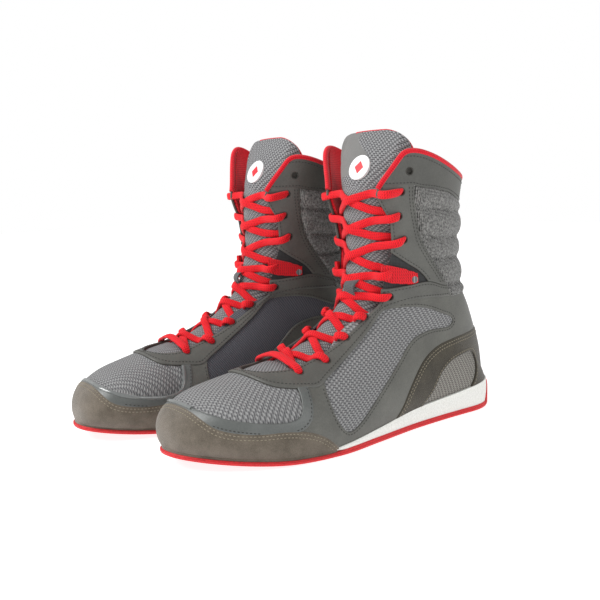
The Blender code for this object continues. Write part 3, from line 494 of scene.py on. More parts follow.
class Look:
    """A material under construction: a Principled shader, with helpers for the nodes that feed it."""

    def __init__(self, name, colour, rough, **sockets):
        self.material = bpy.data.materials.new(name)
        self.material.use_nodes = True
        self.tree = self.material.node_tree
        self.shader = self.tree.nodes["Principled BSDF"]
        self.shader.inputs["Base Color"].default_value = colour
        self.shader.inputs["Roughness"].default_value = rough
        for socket, value in sockets.items():
            self.shader.inputs[socket.replace("_", " ")].default_value = value

    def node(self, kind, **values):
        """A new node, with the values of its sockets or its own settings."""
        n = self.tree.nodes.new(kind)
        for key, value in values.items():
            if key in n.inputs:
                n.inputs[key].default_value = value
            else:
                setattr(n, key, value)
        return n

    def link(self, a, b):
        self.tree.links.new(a, b)

    def uv(self, turn=0.0):
        """The piece's own map, in metres, turned by some degrees."""
        source = self.node("ShaderNodeUVMap", uv_map="surface")
        mapping = self.node("ShaderNodeMapping")
        mapping.inputs["Rotation"].default_value = (0.0, 0.0, math.radians(turn))
        self.link(source.outputs["UV"], mapping.inputs["Vector"])
        return mapping.outputs["Vector"]

    def place(self):
        return self.node("ShaderNodeTexCoord").outputs["Object"]

    def noise(self, vector, size, detail=3.0, rough=0.6):
        """Noise whose grain is size metres."""
        n = self.node("ShaderNodeTexNoise")
        n.inputs["Scale"].default_value = 1.0 / size
        n.inputs["Detail"].default_value = detail
        n.inputs["Roughness"].default_value = rough
        self.link(vector, n.inputs["Vector"])
        return n.outputs["Fac"]

    def waves(self, vector, pitch, axis):
        """A smooth ripple from 0 to 1 whose crests are pitch metres apart."""
        n = self.node("ShaderNodeTexWave", wave_type="BANDS", bands_direction=axis, wave_profile="SIN")
        n.inputs["Scale"].default_value = math.pi / 10.0 / pitch
        self.link(vector, n.inputs["Vector"])
        return n.outputs["Fac"]

    def calc(self, operation, a, b):
        """A Math node on two values, each a socket or a number."""
        n = self.node("ShaderNodeMath", operation=operation)
        for socket, value in zip(n.inputs, (a, b)):
            if isinstance(value, (int, float)):
                socket.default_value = value
            else:
                self.link(value, socket)
        return n.outputs[0]

    def mix(self, first, second, share):
        """The sum of two values, with this share of the first one."""
        rest = self.calc("MULTIPLY", second, 1.0 - share)
        return self.calc("ADD", self.calc("MULTIPLY", first, share), rest)

    def ramp(self, factor, *stops):
        """Colour stops (place, colour) over a factor."""
        n = self.node("ShaderNodeValToRGB")
        band = n.color_ramp.elements
        while len(band) < len(stops):
            band.new(0.5)
        for element, (place, colour) in zip(band, stops):
            element.position = place
            element.color = colour
        self.link(factor, n.inputs["Fac"])
        return n.outputs["Color"]

    def paint(self, colour):
        self.link(colour, self.shader.inputs["Base Color"])
        return self

    def bump(self, height, depth):
        """Relief of depth metres from a height that runs from 0 to 1."""
        n = self.node("ShaderNodeBump")
        n.inputs["Distance"].default_value = depth
        self.link(height, n.inputs["Height"])
        self.link(n.outputs["Normal"], self.shader.inputs["Normal"])
        return self


def weave_look(name, dark, light, pitch, turn, depth, rough=0.8):
    """An open mesh: raised dashes in two slanting directions with dark holes between them."""
    look = Look(name, light, rough, Specular_IOR_Level=0.35)
    a = look.waves(look.uv(turn), pitch, "X")
    b = look.waves(look.uv(turn), pitch * 0.62, "Y")
    c = look.waves(look.uv(turn + 45), pitch * 0.5, "X")
    cells = look.calc("MULTIPLY", a, b)
    cells = look.calc("MAXIMUM", cells, look.calc("MULTIPLY", c, 0.35))
    grain = look.noise(look.place(), 0.0009, 2.0)
    height = look.mix(cells, grain, 0.8)
    look.paint(look.ramp(height, (0.12, dark), (0.55, light)))
    return look.bump(height, depth)


def knit_look(name, dark, light):
    """A close speckled knit."""
    look = Look(name, light, 0.9, Specular_IOR_Level=0.25, Sheen_Weight=0.25)
    a = look.waves(look.uv(0), 0.0013, "X")
    b = look.waves(look.uv(0), 0.0010, "Y")
    loops = look.calc("MULTIPLY", a, b)
    fleck = look.noise(look.place(), 0.0016, 2.0, 0.5)
    height = look.mix(loops, fleck, 0.45)
    look.paint(look.ramp(height, (0.26, dark), (0.5, light)))
    return look.bump(height, 0.0005)


def leather_look(name, colour, darker, rough, grain=0.0012, depth=0.00012, **sockets):
    """Leather with a fine grain and broad lighter and darker patches."""
    look = Look(name, colour, rough, **sockets)
    fine = look.noise(look.place(), grain, 4.0, 0.65)
    broad = look.noise(look.place(), 0.02, 3.0)
    look.paint(look.ramp(look.mix(fine, broad, 0.45), (0.38, darker), (0.62, colour)))
    return look.bump(fine, depth)


def suede_look(name, colour, darker):
    """Suede with a short nap."""
    look = Look(name, colour, 0.95, Specular_IOR_Level=0.15, Sheen_Weight=0.35)
    nap = look.noise(look.place(), 0.0007, 3.0, 0.7)
    broad = look.noise(look.place(), 0.012, 3.0)
    look.paint(look.ramp(look.mix(nap, broad, 0.5), (0.36, darker), (0.62, colour)))
    return look.bump(nap, 0.00025)


def ribbed_look(name, colour, darker, pitch, depth, rough=0.75):
    """Woven cord or webbing, with ribs across its length."""
    look = Look(name, colour, rough, Specular_IOR_Level=0.3, Sheen_Weight=0.08)
    across = look.waves(look.uv(0), pitch, "X")
    slant = look.waves(look.uv(38), pitch * 0.9, "X")
    height = look.mix(across, slant, 0.5)
    look.paint(look.ramp(height, (0.15, darker), (0.6, colour)))
    return look.bump(height, depth)


def fabric_look(name, colour, darker, pitch=0.0011, depth=0.0002):
    """A plain close weave."""
    look = Look(name, colour, 0.9, Specular_IOR_Level=0.2, Sheen_Weight=0.3)
    weave = look.calc("MULTIPLY", look.waves(look.uv(0), pitch, "X"), look.waves(look.uv(0), pitch, "Y"))
    grain = look.noise(look.place(), 0.003, 3.0)
    height = look.mix(weave, grain, 0.6)
    look.paint(look.ramp(height, (0.15, darker), (0.6, colour)))
    return look.bump(height, depth)


def rubber_look(name, colour, darker, rough, grain=0.0014, depth=0.0001):
    """Rubber or foam with faint specks."""
    look = Look(name, colour, rough, Specular_IOR_Level=0.4)
    speck = look.noise(look.place(), grain, 3.0)
    look.paint(look.ramp(speck, (0.3, darker), (0.6, colour)))
    return look.bump(speck, depth)


def tread_look(name, colour):
    """The underside of the outsole: a chevron tread."""
    look = Look(name, colour, 0.6)
    a = look.waves(look.uv(35), 0.006, "X")
    b = look.waves(look.uv(-35), 0.006, "X")
    return look.bump(look.calc("MINIMUM", a, b), 0.0009)


def gloss_look(name, colour, darker):
    """Leather under a clear shiny coat."""
    return leather_look(name, colour, darker, 0.15, 0.003, 0.00003, Coat_Weight=1.0, Coat_Roughness=0.06)


# Each look's maker, its colours in 8-bit display values, and its other measures.
RECIPES = {
    "mesh": (weave_look, (78, 78, 80), (153, 153, 153), 0.0032, 32, 0.0006),
    "flap_mesh": (weave_look, (52, 52, 54), (156, 156, 157), 0.0033, 40, 0.0007),
    "inner_mesh": (weave_look, (48, 49, 54), (106, 107, 114), 0.0017, 32, 0.0004),
    "tongue_mesh": (weave_look, (58, 58, 60), (156, 156, 157), 0.0024, 40, 0.0005),
    "knit": (knit_look, (38, 38, 37), (154, 153, 150)),
    "pale_knit": (weave_look, (80, 78, 73), (150, 147, 141), 0.0030, 32, 0.0005),
    "leather": (leather_look, (95, 95, 89), (80, 80, 75), 0.45),
    "stay": (leather_look, (91, 91, 86), (77, 77, 73), 0.43),
    "band": (leather_look, (83, 83, 78), (71, 71, 67), 0.45),
    # edge: a dark cut-edge colour for the panels' side walls and the eyelet rims; on the walls it is also
    # painted shade for the dark lines along the panel edges
    "edge": (leather_look, (70, 68, 63), (55, 53, 49), 0.8),
    "smooth": (fabric_look, (122, 121, 119), (102, 102, 100), 0.0009, 0.0001),
    # gusset: grey cloth behind the notch, made dark partly as painted shade inside the notch
    "gusset": (fabric_look, (66, 67, 68), (44, 45, 46)),
    "trim": (leather_look, (98, 101, 99), (84, 87, 85), 0.36),
    # painted highlight: the cord's colour is lighter than the trim's, to stand in for its glints
    "gloss": (gloss_look, (120, 123, 122), (102, 105, 104)),
    "suede": (suede_look, (112, 103, 92), (84, 77, 67)),
    # heel_suede: a darker olive-brown suede, darkened further as painted shade of the heel, which faces away
    # from the key light
    "heel_suede": (suede_look, (70, 65, 54), (47, 43, 35)),
    "lining": (fabric_look, (222, 24, 40), (176, 12, 26)),
    "piping": (fabric_look, (226, 24, 44), (188, 12, 28), 0.0016, 0.0003),
    "lace": (ribbed_look, (236, 18, 34), (184, 6, 20), 0.0014, 0.00035),
    "red_webbing": (ribbed_look, (222, 24, 38), (160, 8, 20), 0.0016, 0.0003),
    "grey_webbing": (ribbed_look, (104, 104, 105), (62, 62, 64), 0.0012, 0.0004),
    "foam": (rubber_look, (234, 234, 230), (214, 214, 208), 0.55, 0.0011, 0.00012),
    "rubber": (rubber_look, (212, 36, 42), (184, 26, 32), 0.5),
    "tread": (tread_look, (205, 48, 52)),
    "board": (leather_look, (160, 142, 118), (140, 122, 98), 0.85),
    "dark_thread": (Look, (52, 51, 49), 0.7),
    "beige_thread": (Look, (134, 126, 108), 0.75),
    "badge": (Look, (236, 236, 236), 0.4),
    "badge_mark": (Look, (206, 34, 46), 0.4),
}
LOOKS = {}
for look_name, (make_look, *values) in RECIPES.items():
    values = [srgb(*v) if isinstance(v, tuple) else v for v in values]
    LOOKS[look_name] = make_look(look_name, *values).material


# ---------------------------------------------------------------- making pieces
class Shape:
    """Points, faces, a flat map and a material name for each face; shapes can be added up."""

    def __init__(self, points, faces, uv, materials):
        self.points = np.asarray(points, float)
        self.faces = [tuple(int(i) for i in f) for f in faces]
        self.uv = np.asarray(uv, float)
        self.materials = [materials] * len(self.faces) if isinstance(materials, str) else list(materials)

    def __add__(self, other):
        count = len(self.points)
        faces = self.faces + [tuple(i + count for i in f) for f in other.faces]
        return Shape(np.concatenate([self.points, other.points]), faces,
                     np.concatenate([self.uv, other.uv]), self.materials + other.materials)


# One front corner of each collar stands up and out more than the other: its side, and how far up and out.
RAISED_CORNER = {"left": (-1, 6.5, 8.0), "right": (1, 11.0, 11.0)}
BLEND_UP, BLEND_FORWARD, BLEND_OUT = (181, 206), (72, 110), (6, 24)


def raise_corner(points, boot):
    """Points of a boot with that corner raised; it blends in upward, forward and outward."""
    side, up, out = RAISED_CORNER[boot]
    x, a, z = np.asarray(points, float).T
    share = ease(z, *BLEND_UP) * ease(a, *BLEND_FORWARD) * ease(side * (x - centre(a, z)), *BLEND_OUT)
    return np.stack([x + side * out * share, a, z + up * share], axis=1)


def other_hand(shape):
    """The same shape mirrored about the boot's middle line."""
    points = shape.points.copy()
    points[:, 0] = 2 * centre(points[:, 1], points[:, 2]) - points[:, 0]
    return Shape(points, [f[::-1] for f in shape.faces], shape.uv, shape.materials)


def joined(shapes):
    """Several shapes as one."""
    first, *others = shapes
    for shape in others:
        first = first + shape
    return first


def place_shape(shape, name, boot, nodes=(), sharp=40.0, body=None):
    mesh = bpy.data.meshes.new(f"{boot}_{name}")
    turn = BOOTS[boot] < 0
    faces = [f[::-1] if turn else f for f in shape.faces]
    points = raise_corner(shape.points, boot) if body is None and name != "lace" else shape.points
    mesh.from_pydata(to_world(points, boot).tolist(), [], faces)
    names = sorted(set(shape.materials))
    for material in names:
        mesh.materials.append(LOOKS[material])
    number = {material: i for i, material in enumerate(names)}
    mesh.polygons.foreach_set("material_index", [number[m] for m in shape.materials])
    layer = mesh.uv_layers.new(name="surface")
    loops = np.zeros(len(mesh.loops), np.int32)
    mesh.loops.foreach_get("vertex_index", loops)
    layer.data.foreach_set("uv", (shape.uv[loops] * MM).astype(np.float32).ravel())
    mesh.shade_smooth()
    mesh.set_sharp_from_angle(angle=math.radians(sharp))
    obj = bpy.data.objects.new(f"{boot}_{name}_look", mesh)
    bpy.context.scene.collection.objects.link(obj)
    if body is not False:
        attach(obj, f"{boot}_{body or 'boot'}")
    if nodes:
        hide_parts(*(f"{boot}_{node}" for node in nodes))
    return obj


def side_map(table):
    return table[:, [COL["a"], COL["z"]]]


def top_map(table):
    return table[:, [COL["x"], COL["a"]]]


def wrap_map(table):
    return table[:, [COL["back"], COL["z"]]]


def panel(sheet, height, radius, material, mapping=side_map, low=-0.5, edge=None, terms=None, bulge=None):
    """A panel with a rounded lip: the sheet is already cut, and terms gives the distance to its edge."""
    table = sheet[0]
    top = np.full(len(table), float(height))
    if radius:
        top -= lip(-region(table, terms), radius)
    if bulge is not None:
        top += bulge
    points, faces, kind = shell(sheet, top, low)
    uv = np.concatenate([mapping(table)] * 2)
    # The side walls take the edge material: a dark cut edge, and painted shade along the panel's edge.
    materials = np.where(kind == 1, edge or material, material)
    return Shape(points, faces, uv, materials)


def cut_panel(sheet, terms, height, radius, material, mapping=side_map, edge=None):
    """The panel of one region of the sheet; a few rings of points near its edge carry its lip."""
    levels = (0.12 * radius, 0.45 * radius, radius) if radius else ()
    return panel(cut_region(sheet, terms, levels), height, radius, material, mapping, edge=edge, terms=terms)


def smooth_run(points, closed, rounds=4):
    """A run of points, evened out; the ends of an open run stay where they are."""
    p = np.array(points, float)
    for _ in range(rounds):
        if closed:
            p = (np.roll(p, 1, 0) + 2 * p + np.roll(p, -1, 0)) / 4
        elif len(p) > 2:
            p[1:-1] = (p[:-2] + 2 * p[1:-1] + p[2:]) / 4
    return p


def contour(sheet, value, keep, least=12.0):
    """Runs of (place, normal) along value = 0 where keep is negative; both are functions of the table."""
    table, tris = sheet
    v = value(table)
    near = (v[tris] > 0).any(1) & (v[tris] < 0).any(1)
    table, tris = compact(table, tris[near])
    table, _, _, cuts = split(table, tris, value(table))
    cuts = cuts[(keep(table)[cuts] < 0).all(1)]
    made = []
    for run in chains(cuts):
        closed = run[0] == run[-1] and len(run) > 3
        rows = table[run[:-1] if closed else run]
        rows = smooth_run(rows[:, :6], closed)
        if closed:
            rows = np.concatenate([rows, rows[:1]])
        way = way_along(rows[:, :3])
        if way[-1] >= least:
            made.append((rows, way))
    return made


def resample(rows, way, pitch):
    count = max(int(way[-1] / pitch), 1)
    at = np.linspace(0.0, way[-1], count + 1)
    return np.stack([np.interp(at, way, rows[:, i]) for i in range(rows.shape[1])], -1)


CAPSULE_SIDES = 5


def stitches(runs, height, material, pitch=2.7, length=1.9, radius=0.36):
    """Short rounded stitches that lie along the runs, at a height over the sheet."""
    points, faces = [], []
    for rows, way in runs:
        line = resample(rows, way, pitch)
        for a, b in zip(line[:-1], line[1:]):
            middle, along = (a + b) / 2, b[:3] - a[:3]
            along /= max(np.linalg.norm(along), 1e-9)
            up = middle[3:6] / max(np.linalg.norm(middle[3:6]), 1e-9)
            across = np.cross(up, along)
            start = len(points)
            for at, share in ((-0.5, 0.35), (-0.32, 1.0), (0.32, 1.0), (0.5, 0.35)):
                dip = 0.0 if share == 1.0 else -0.35
                for s in range(CAPSULE_SIDES):
                    w = 2 * math.pi * s / CAPSULE_SIDES
                    points.append(middle[:3] + up * (height + dip + radius * share * math.sin(w))
                                  + across * radius * share * math.cos(w) + along * at * length)
            for ring in range(3):
                for s in range(CAPSULE_SIDES):
                    n = (s + 1) % CAPSULE_SIDES
                    i = start + ring * CAPSULE_SIDES
                    faces.append((i + s, i + n, i + CAPSULE_SIDES + n, i + CAPSULE_SIDES + s))
            faces.append(tuple(range(start, start + CAPSULE_SIDES))[::-1])
            faces.append(tuple(range(start + 3 * CAPSULE_SIDES, start + 4 * CAPSULE_SIDES)))
    points = np.array(points)
    return Shape(points, faces, points[:, 1:3], material)


def ring_faces(rings, sides):
    """The faces of a closed solid through rings of points: its two caps, then the quads between rings."""
    faces = [tuple(range(sides))[::-1], tuple(range((rings - 1) * sides, rings * sides))]
    for i in range(rings - 1):
        for s in range(sides):
            n = (s + 1) % sides
            faces.append((i * sides + s, i * sides + n, (i + 1) * sides + n, (i + 1) * sides + s))
    return faces


def turned_rings(place, normal, across, up, profile, count):
    """Rings round a normal: the profile gives each ring's radius and how far it is lifted."""
    turns = np.linspace(0, 2 * math.pi, count, endpoint=False)
    return [[place + normal * lift + (math.cos(w) * across + math.sin(w) * up) * radius for w in turns]
            for radius, lift in profile]


def sweep(rows, half_w, half_h, material, sides=12):
    """A flattened cord along rows of (place, flat side's normal); its map runs along it in millimetres."""
    p = rows[:, :3]
    tangent = np.gradient(p, axis=0)
    tangent /= np.linalg.norm(tangent, axis=1, keepdims=True)
    up = rows[0, 3:6]
    points, uv = [], []
    for here, t, flat, at in zip(p, tangent, rows[:, 3:6], way_along(p)):
        up = up - t * (up @ t)
        up /= max(np.linalg.norm(up), 1e-9)
        want = flat - t * (flat @ t)
        size = np.linalg.norm(want)
        if size > 0.05:
            want = want / size * math.copysign(1.0, want @ up)
            up = up + want * size * 0.6
            up -= t * (up @ t)
            up /= np.linalg.norm(up)
        across = np.cross(t, up)
        for s in range(sides):
            w = 2 * math.pi * s / sides
            c, h = math.cos(w), math.sin(w)
            wide = math.copysign(abs(c) ** 0.8, c) * half_w
            tall = math.copysign(abs(h) ** 0.8, h) * half_h
            points.append(here + across * wide + up * tall)
            uv.append((at, wide))
    return Shape(points, ring_faces(len(p), sides), uv, material)


def loft(sections, material, uv=None):
    """A closed solid through sections with the same number of points."""
    sections = np.array(sections, float)
    points = sections.reshape(-1, 3)
    faces = ring_faces(*sections.shape[:2])
    return Shape(points, faces, points[:, :2] if uv is None else uv, material)


# ---------------------------------------------------------------- the upper
# A region's terms: a column of the sheet, the sign that makes it negative inside, and how far it grows.
TRIM_WIDTH = 8.0
HOLE = ("hole", -1, -HOLE_R)
THROAT = ("behind", -1, 0.0)
PANELS = {
    "bumper": [("bumper", 1, 0.0)],
    "vamp": [("vamp", 1, 2.5), ("stay", -1, 2.0), ("bumper", -1, 2.0)],
    "trim": [("vamp", -1, 0.0), ("vamp", 1, TRIM_WIDTH), ("stay", -1, 1.5), ("bumper", -1, 1.5)],
    "stay": [("stay", 1, 0.0), ("ankle", 1, 0.0), ("rear", -1, 0.0), THROAT, HOLE],
    "quarter": [("stay", -1, 1.6), ("bumper", -1, 2.0), ("vamp", -1, 2.0 - TRIM_WIDTH), ("window", -1, 0.0),
                ("suede", -1, 2.0)],
    "window": [("window", 1, 2.5)],
    "counter": [("suede", 1, 0.0), ("heel_window", -1, 0.0)],
    "heel_window": [("heel_window", 1, 2.5)],
    "quilt": [("band", -1, 2.5), ("rear", 1, 2.5), ("stay", 1, 1.0)],
    "shaft": [("band", -1, 1.5), ("rear", -1, 0.0), ("ankle", -1, 0.0), ("notch", 1, 0.0), THROAT, HOLE],
    "band": [("band", 1, 0.0), ("collar", 1, -0.6), THROAT, HOLE],
    "throat_front": [("behind", 1, 2.0), ("a", -1, -205.0)],
    "gusset": [("rear", -1, 1.0), ("band", -1, -10.0), ("behind", -1, -1.5), ("stay", 1, -4.0)],
    "lining": [("collar", 1, 0.2), ("behind", -1, -2.5)],
}
H_MESH, H_QUARTER, H_STAY, H_SUEDE, H_TRIM, H_BAND, H_SHAFT = 0.1, 1.0, 1.8, 1.5, 1.5, 1.6, 1.5

QUILT_SEAMS = [(92, 92), (104, 108), (124, 128), (140, 145), (157, 167), (163, 184), (200, 200)]


QUILT_FRONT, LOBE_RISE, LOBE_HEIGHT = 97.0, 3.9, 17.0


def seam_height(number, a):
    """Height of one of the quilt's seams; each is given at the back and at the front."""
    back, front = QUILT_SEAMS[number]
    return back + (front - back) * np.clip(a / QUILT_FRONT, 0.0, 1.0)


def quilt_bulge(table):
    """How far the quilt's lobes stand out between their seams."""
    a, z = table[:, COL["a"]], table[:, COL["z"]]
    seams = np.stack([seam_height(i, a) for i in range(len(QUILT_SEAMS))], -1)
    lobe = np.clip((z[:, None] > seams).sum(1) - 1, 0, seams.shape[1] - 2)
    rows = np.arange(len(z))
    low, high = seams[rows, lobe], seams[rows, lobe + 1]
    f = np.clip((z - low) / (high - low), 0.0, 1.0)
    full = np.clip((high - low) / LOBE_HEIGHT, 0.35, 1.15)
    rise = LOBE_RISE * full * np.sin(np.pi * f) ** 0.55
    outside = region(table, [("rear", 1, 0.0), ("stay", 1, 0.0), ("band", -1, 0.0)])
    edge = np.clip(-outside / 5.0, 0, 1)
    wrinkle = 0.16 * np.sin(a * 0.55 + 0.9 * np.sin(z * 0.21)) * np.sin(np.pi * f)
    return (rise + wrinkle) * np.sqrt(edge * (2 - edge))


def by_side(shape):
    """The window on the inner side has a finer and darker mesh."""
    for i, face in enumerate(shape.faces):
        x, a, z = shape.points[face[0]]
        if x < centre(a, z):
            shape.materials[i] = "inner_mesh"


# Pieces cut from one region: the region, its height, its lip's radius, material, map and edge material; the
# dark edge material is a cut-edge colour and also painted shade along the panel edges.
CUT_PIECES = {
    "toe_bumper": ("bumper", H_SUEDE, 0.9, "suede", wrap_map, "edge"),
    "vamp_mesh": ("vamp", H_MESH, 0, "mesh", top_map),
    "vamp_trim": ("trim", H_TRIM, 0.8, "trim", top_map, "edge"),
    "eyestay": ("stay", H_STAY, 0.9, "stay", side_map, "edge"),
    "quarter": ("quarter", H_QUARTER, 0.8, "leather", side_map, "edge"),
    "quarter_mesh": ("window", H_MESH, 0, "mesh"),
    "heel_counter_cover": ("counter", H_SUEDE, 0.9, "heel_suede", side_map, "edge"),
    "heel_mesh": ("heel_window", H_MESH, 0, "pale_knit"),
    "shaft_eyestay": ("shaft", H_SHAFT, 0.8, "stay", side_map, "edge"),
    "collar_band": ("band", H_BAND, 0.8, "band", wrap_map, "edge"),
}


def build_panels(sheet):
    """The shapes of the upper's panels, keyed by the piece they make."""
    made = {name: cut_panel(sheet, PANELS[part], *rest) for name, (part, *rest) in CUT_PIECES.items()}
    made["toe_bumper"] += toe_rand()
    made["vamp_trim"] += build_vamp_cord(sheet)
    by_side(made["quarter_mesh"])
    front = cut_region(sheet, PANELS["throat_front"])
    made["throat_front"] = panel(front, -0.9, 0, "tongue_mesh", top_map, low=-1.7)
    quilt = cut_region(sheet, PANELS["quilt"])
    made["ankle_quilt"] = panel(quilt, 0.5, 0, "knit", wrap_map, bulge=quilt_bulge(quilt[0]))
    # The gusset behind the notch is grey cloth, darkened partly as painted shade there.
    made["gusset"] = panel(cut_region(sheet, PANELS["gusset"]), -0.1, 0, "gusset", low=-0.55)
    made["lining"] = panel(cut_region(sheet, PANELS["lining"]), -0.6, 0, "lining", wrap_map, low=-2.6)
    return made


def term_field(name, sign, grow):
    return lambda table: sign * table[:, COL[name]] - grow


def seam(sheet, material, panel_name, term, depth, height, margin=1.2):
    """Stitches at some depth inside one edge of a panel, where they stay inside its other edges."""
    others = [t for t in PANELS[panel_name] if t[0] not in (term[0], "hole")]

    def keep(table):
        return region(table, others) + margin if others else np.full(len(table), -1.0)

    name, sign, grow = term
    return stitches(contour(sheet, term_field(name, sign, grow - depth), keep), height, material)


# Rows of stitches: the panel, the edge they follow, how far inside it they run, and the panel's height.
LEATHER_ROWS = [
    ("stay", ("stay", 1, 0.0), 2.0, H_STAY), ("stay", THROAT, 2.4, H_STAY),
    ("stay", ("ankle", 1, 0.0), 2.0, H_STAY),
    ("shaft", ("rear", -1, 0.0), 2.0, H_SHAFT), ("shaft", ("rear", -1, 0.0), 4.4, H_SHAFT),
    ("shaft", THROAT, 2.4, H_SHAFT), ("shaft", ("notch", 1, 0.0), 2.0, H_SHAFT),
    ("band", ("band", 1, 0.0), 2.0, H_BAND), ("band", ("collar", 1, -0.6), 3.6, H_BAND),
    ("quarter", ("window", -1, 0.0), 2.0, H_QUARTER, 3.0), ("trim", ("vamp", 1, TRIM_WIDTH), 1.6, H_TRIM),
]
SUEDE_ROWS = [
    ("bumper", ("bumper", 1, 0.0), 2.0, H_SUEDE), ("bumper", ("bumper", 1, 0.0), 4.2, H_SUEDE),
    ("counter", ("suede", 1, 0.0), 2.2, H_SUEDE), ("counter", ("suede", 1, 0.0), 4.6, H_SUEDE),
    ("counter", ("heel_window", -1, 0.0), 2.2, H_SUEDE),
]


def quilt_row(sheet, number):
    """The stitches along one of the quilt's seams."""
    inside = [("band", -1, -1.0), ("rear", 1, -1.0), ("stay", 1, -2.0)]
    runs = contour(sheet, lambda t: t[:, COL["z"]] - seam_height(number, t[:, COL["a"]]),
                   lambda t: region(t, inside))
    return stitches(runs, 0.75, "dark_thread", 2.4, 2.1)


def build_stitches(sheet):
    """All the dark stitches on the leather and the quilt, and all the beige ones on the suede."""
    on_leather = joined(seam(sheet, "dark_thread", *row) for row in LEATHER_ROWS)
    on_quilt = joined(quilt_row(sheet, number) for number in range(1, 5))
    on_suede = joined(seam(sheet, "beige_thread", *row) for row in SUEDE_ROWS)
    return on_leather + on_quilt, on_suede


RIM_SIDES = 20


def eyelet_rim(place, height, side):
    """A pressed rim of leather round one eyelet; the spare one is closed by a dark floor, painted shade
    inside the hole.
    """
    middle, normal, way = on_surface(*place, side)
    profile = ((HOLE_R + 0.9, height - 0.15), (HOLE_R + 0.45, height + 0.22), (HOLE_R + 0.05, height + 0.1),
               (HOLE_R - 0.25, height - 0.8), (HOLE_R - 0.25, -0.4), (HOLE_R + 0.9, -0.4))
    rings = turned_rings(middle, normal, np.cross(normal, way), way, profile, RIM_SIDES)
    points = np.array(rings).reshape(-1, 3)
    around = np.arange(len(points)).reshape(-1, RIM_SIDES)
    after = np.roll(around, -1, 1)
    quads = np.stack([around, after, np.roll(after, -1, 0), np.roll(around, -1, 0)], -1)
    faces = quads.reshape(-1, 4).tolist()
    # painted shade: the spare hole gets a floor in the dark edge colour where the lining would show
    if place == SPARE_EYELET:
        faces.append(around[4].tolist())
    return Shape(points, faces, points[:, 1:3], "edge")


def eyelet_rims():
    """The rims of all eyelets of a boot, on both of its sides."""
    heights = [(place, H_STAY) for place in EYELETS] + [(place, H_SHAFT) for place in SHAFT_EYELETS]
    heights.append((SPARE_EYELET, H_BAND))
    return joined(eyelet_rim(place, height, side) for place, height in heights for side in (1, -1))


def build_piping(sheet):
    """The rolled cord along the collar, from one front corner round the back to the other."""
    runs = contour(sheet, lambda t: region(t, [("collar", 1, -0.3), ("behind", -1, -0.2)]),
                   lambda t: 182.0 - t[:, COL["z"]])
    rows, way = max(runs, key=lambda r: r[1][-1])
    line = resample(rows, way, 2.0)
    line[:, :3] = smooth_run(line[:, :3], False, 6)
    return sweep(line, 2.1, 2.1, "piping", 14)


def webbing(route, halves, side, thick, material):
    """A flat tab that follows the surface, built up across its width."""
    fine = np.linspace(0, len(route) - 1, 15)
    route = np.array(route, float)
    sections, uv = [], []
    for f in fine:
        a = np.interp(f, range(len(route)), route[:, 0])
        z = np.interp(f, range(len(route)), route[:, 1])
        half = np.interp(f, range(len(route)), halves)
        top, low = [], []
        for share in np.linspace(-1, 1, 9):
            c, n, _ = on_surface(a, z + share * half, side)
            soft = 0.35 * (1 - abs(share) ** 4)
            top.append(c + n * (thick + soft))
            low.append(c + n * 0.15)
        sections.append(top + low[::-1])
        uv += [(a, share * half) for share in np.linspace(-1, 1, 9)] * 2
    return loft(sections, material, uv)


def build_vamp_cord(sheet):
    """The thin cord that edges the front mesh; its colour is lighter than the trim's, as a painted highlight
    for its glints.
    """
    others = [("stay", -1, -0.5), ("bumper", -1, -0.5)]
    runs = contour(sheet, term_field("vamp", -1, -0.9), lambda t: region(t, others))
    rows, way = max(runs, key=lambda r: r[1][-1])
    line = resample(rows, way, 1.5)
    line[:, :3] += line[:, 3:6] * (H_TRIM - 0.1)
    return sweep(line, 1.4, 1.1, "gloss", 10)


def build_loop(side):
    """One red webbing tab that carries the lace at the ankle, with a small grey button at its root."""
    tab = webbing(LOOP_ROUTE, (3.6, 5.2, 6.0, 6.4, 5.4), side, 1.9, "red_webbing")
    middle, normal, way = on_surface(100.5, 113.5, side)
    profile = ((2.6, 1.0), (2.6, 2.2), (2.2, 2.4))
    return tab + loft(turned_rings(middle, normal, np.cross(normal, way), way, profile, 24), "tongue_mesh")


# ---------------------------------------------------------------- tongue
TONGUE_PATH = [(224, 52.5), (210, 55), (196, 58.5), (180, 64.5), (163, 73.5), (148, 84.5), (137, 96),
               (131, 109), (128, 123), (127.5, 138), (128, 154), (128, 170), (126.5, 184), (121, 198),
               (115.5, 208), (109, 217), (102.5, 226)]
TONGUE_DROP = [7, 9, 11, 12.5, 15.5, 19.5, 24, 22.5, 20.5, 20, 19.5, 18.5, 16.5, 10, 6, 3.5, 1.5]
TONGUE_THICK = 5.0
BADGE_R, MARK_R = 10.0, 4.4
BADGE_PLACE, BADGE_SHARE = (121, 198), 0.12      # side-view place, and share of the tongue's half width
KEEPER_PLACE = (132, 108)
KEEPER_SHARE = {"left": 0.26, "right": 0.0}
KEEPER_REACH, KEEPER_HALF, KEEPER_ARCH = 0.5, 0.15, 4.4      # along the tongue, across it, and up in mm
tongue_v = np.arange(len(TONGUE_PATH))
tongue_a = curve(tongue_v, [p[0] for p in TONGUE_PATH])
tongue_z = curve(tongue_v, [p[1] for p in TONGUE_PATH])
tongue_drop = curve(tongue_v, TONGUE_DROP)
tongue_half = curve([0, 1, 3, 6, 9, 12, 14, 15, 16], [20, 22, 23.5, 23, 27, 29.5, 30, 30, 28.5])
FOLD_V = 12.0              # the fold's place up the tongue
FOLD_BLEND = 0.35          # two points of the tongue's middle line are taken this far each side of the fold
FOLD_WIDTH, FOLD_DIP, PAD_RISE = 0.22, 0.9, 0.75
TONGUE_RISE, RISE_END, RISE_FADE = 4.4, 9.5, 3.0
WING_BEND = 0.3            # share of the half width over which a wing turns back


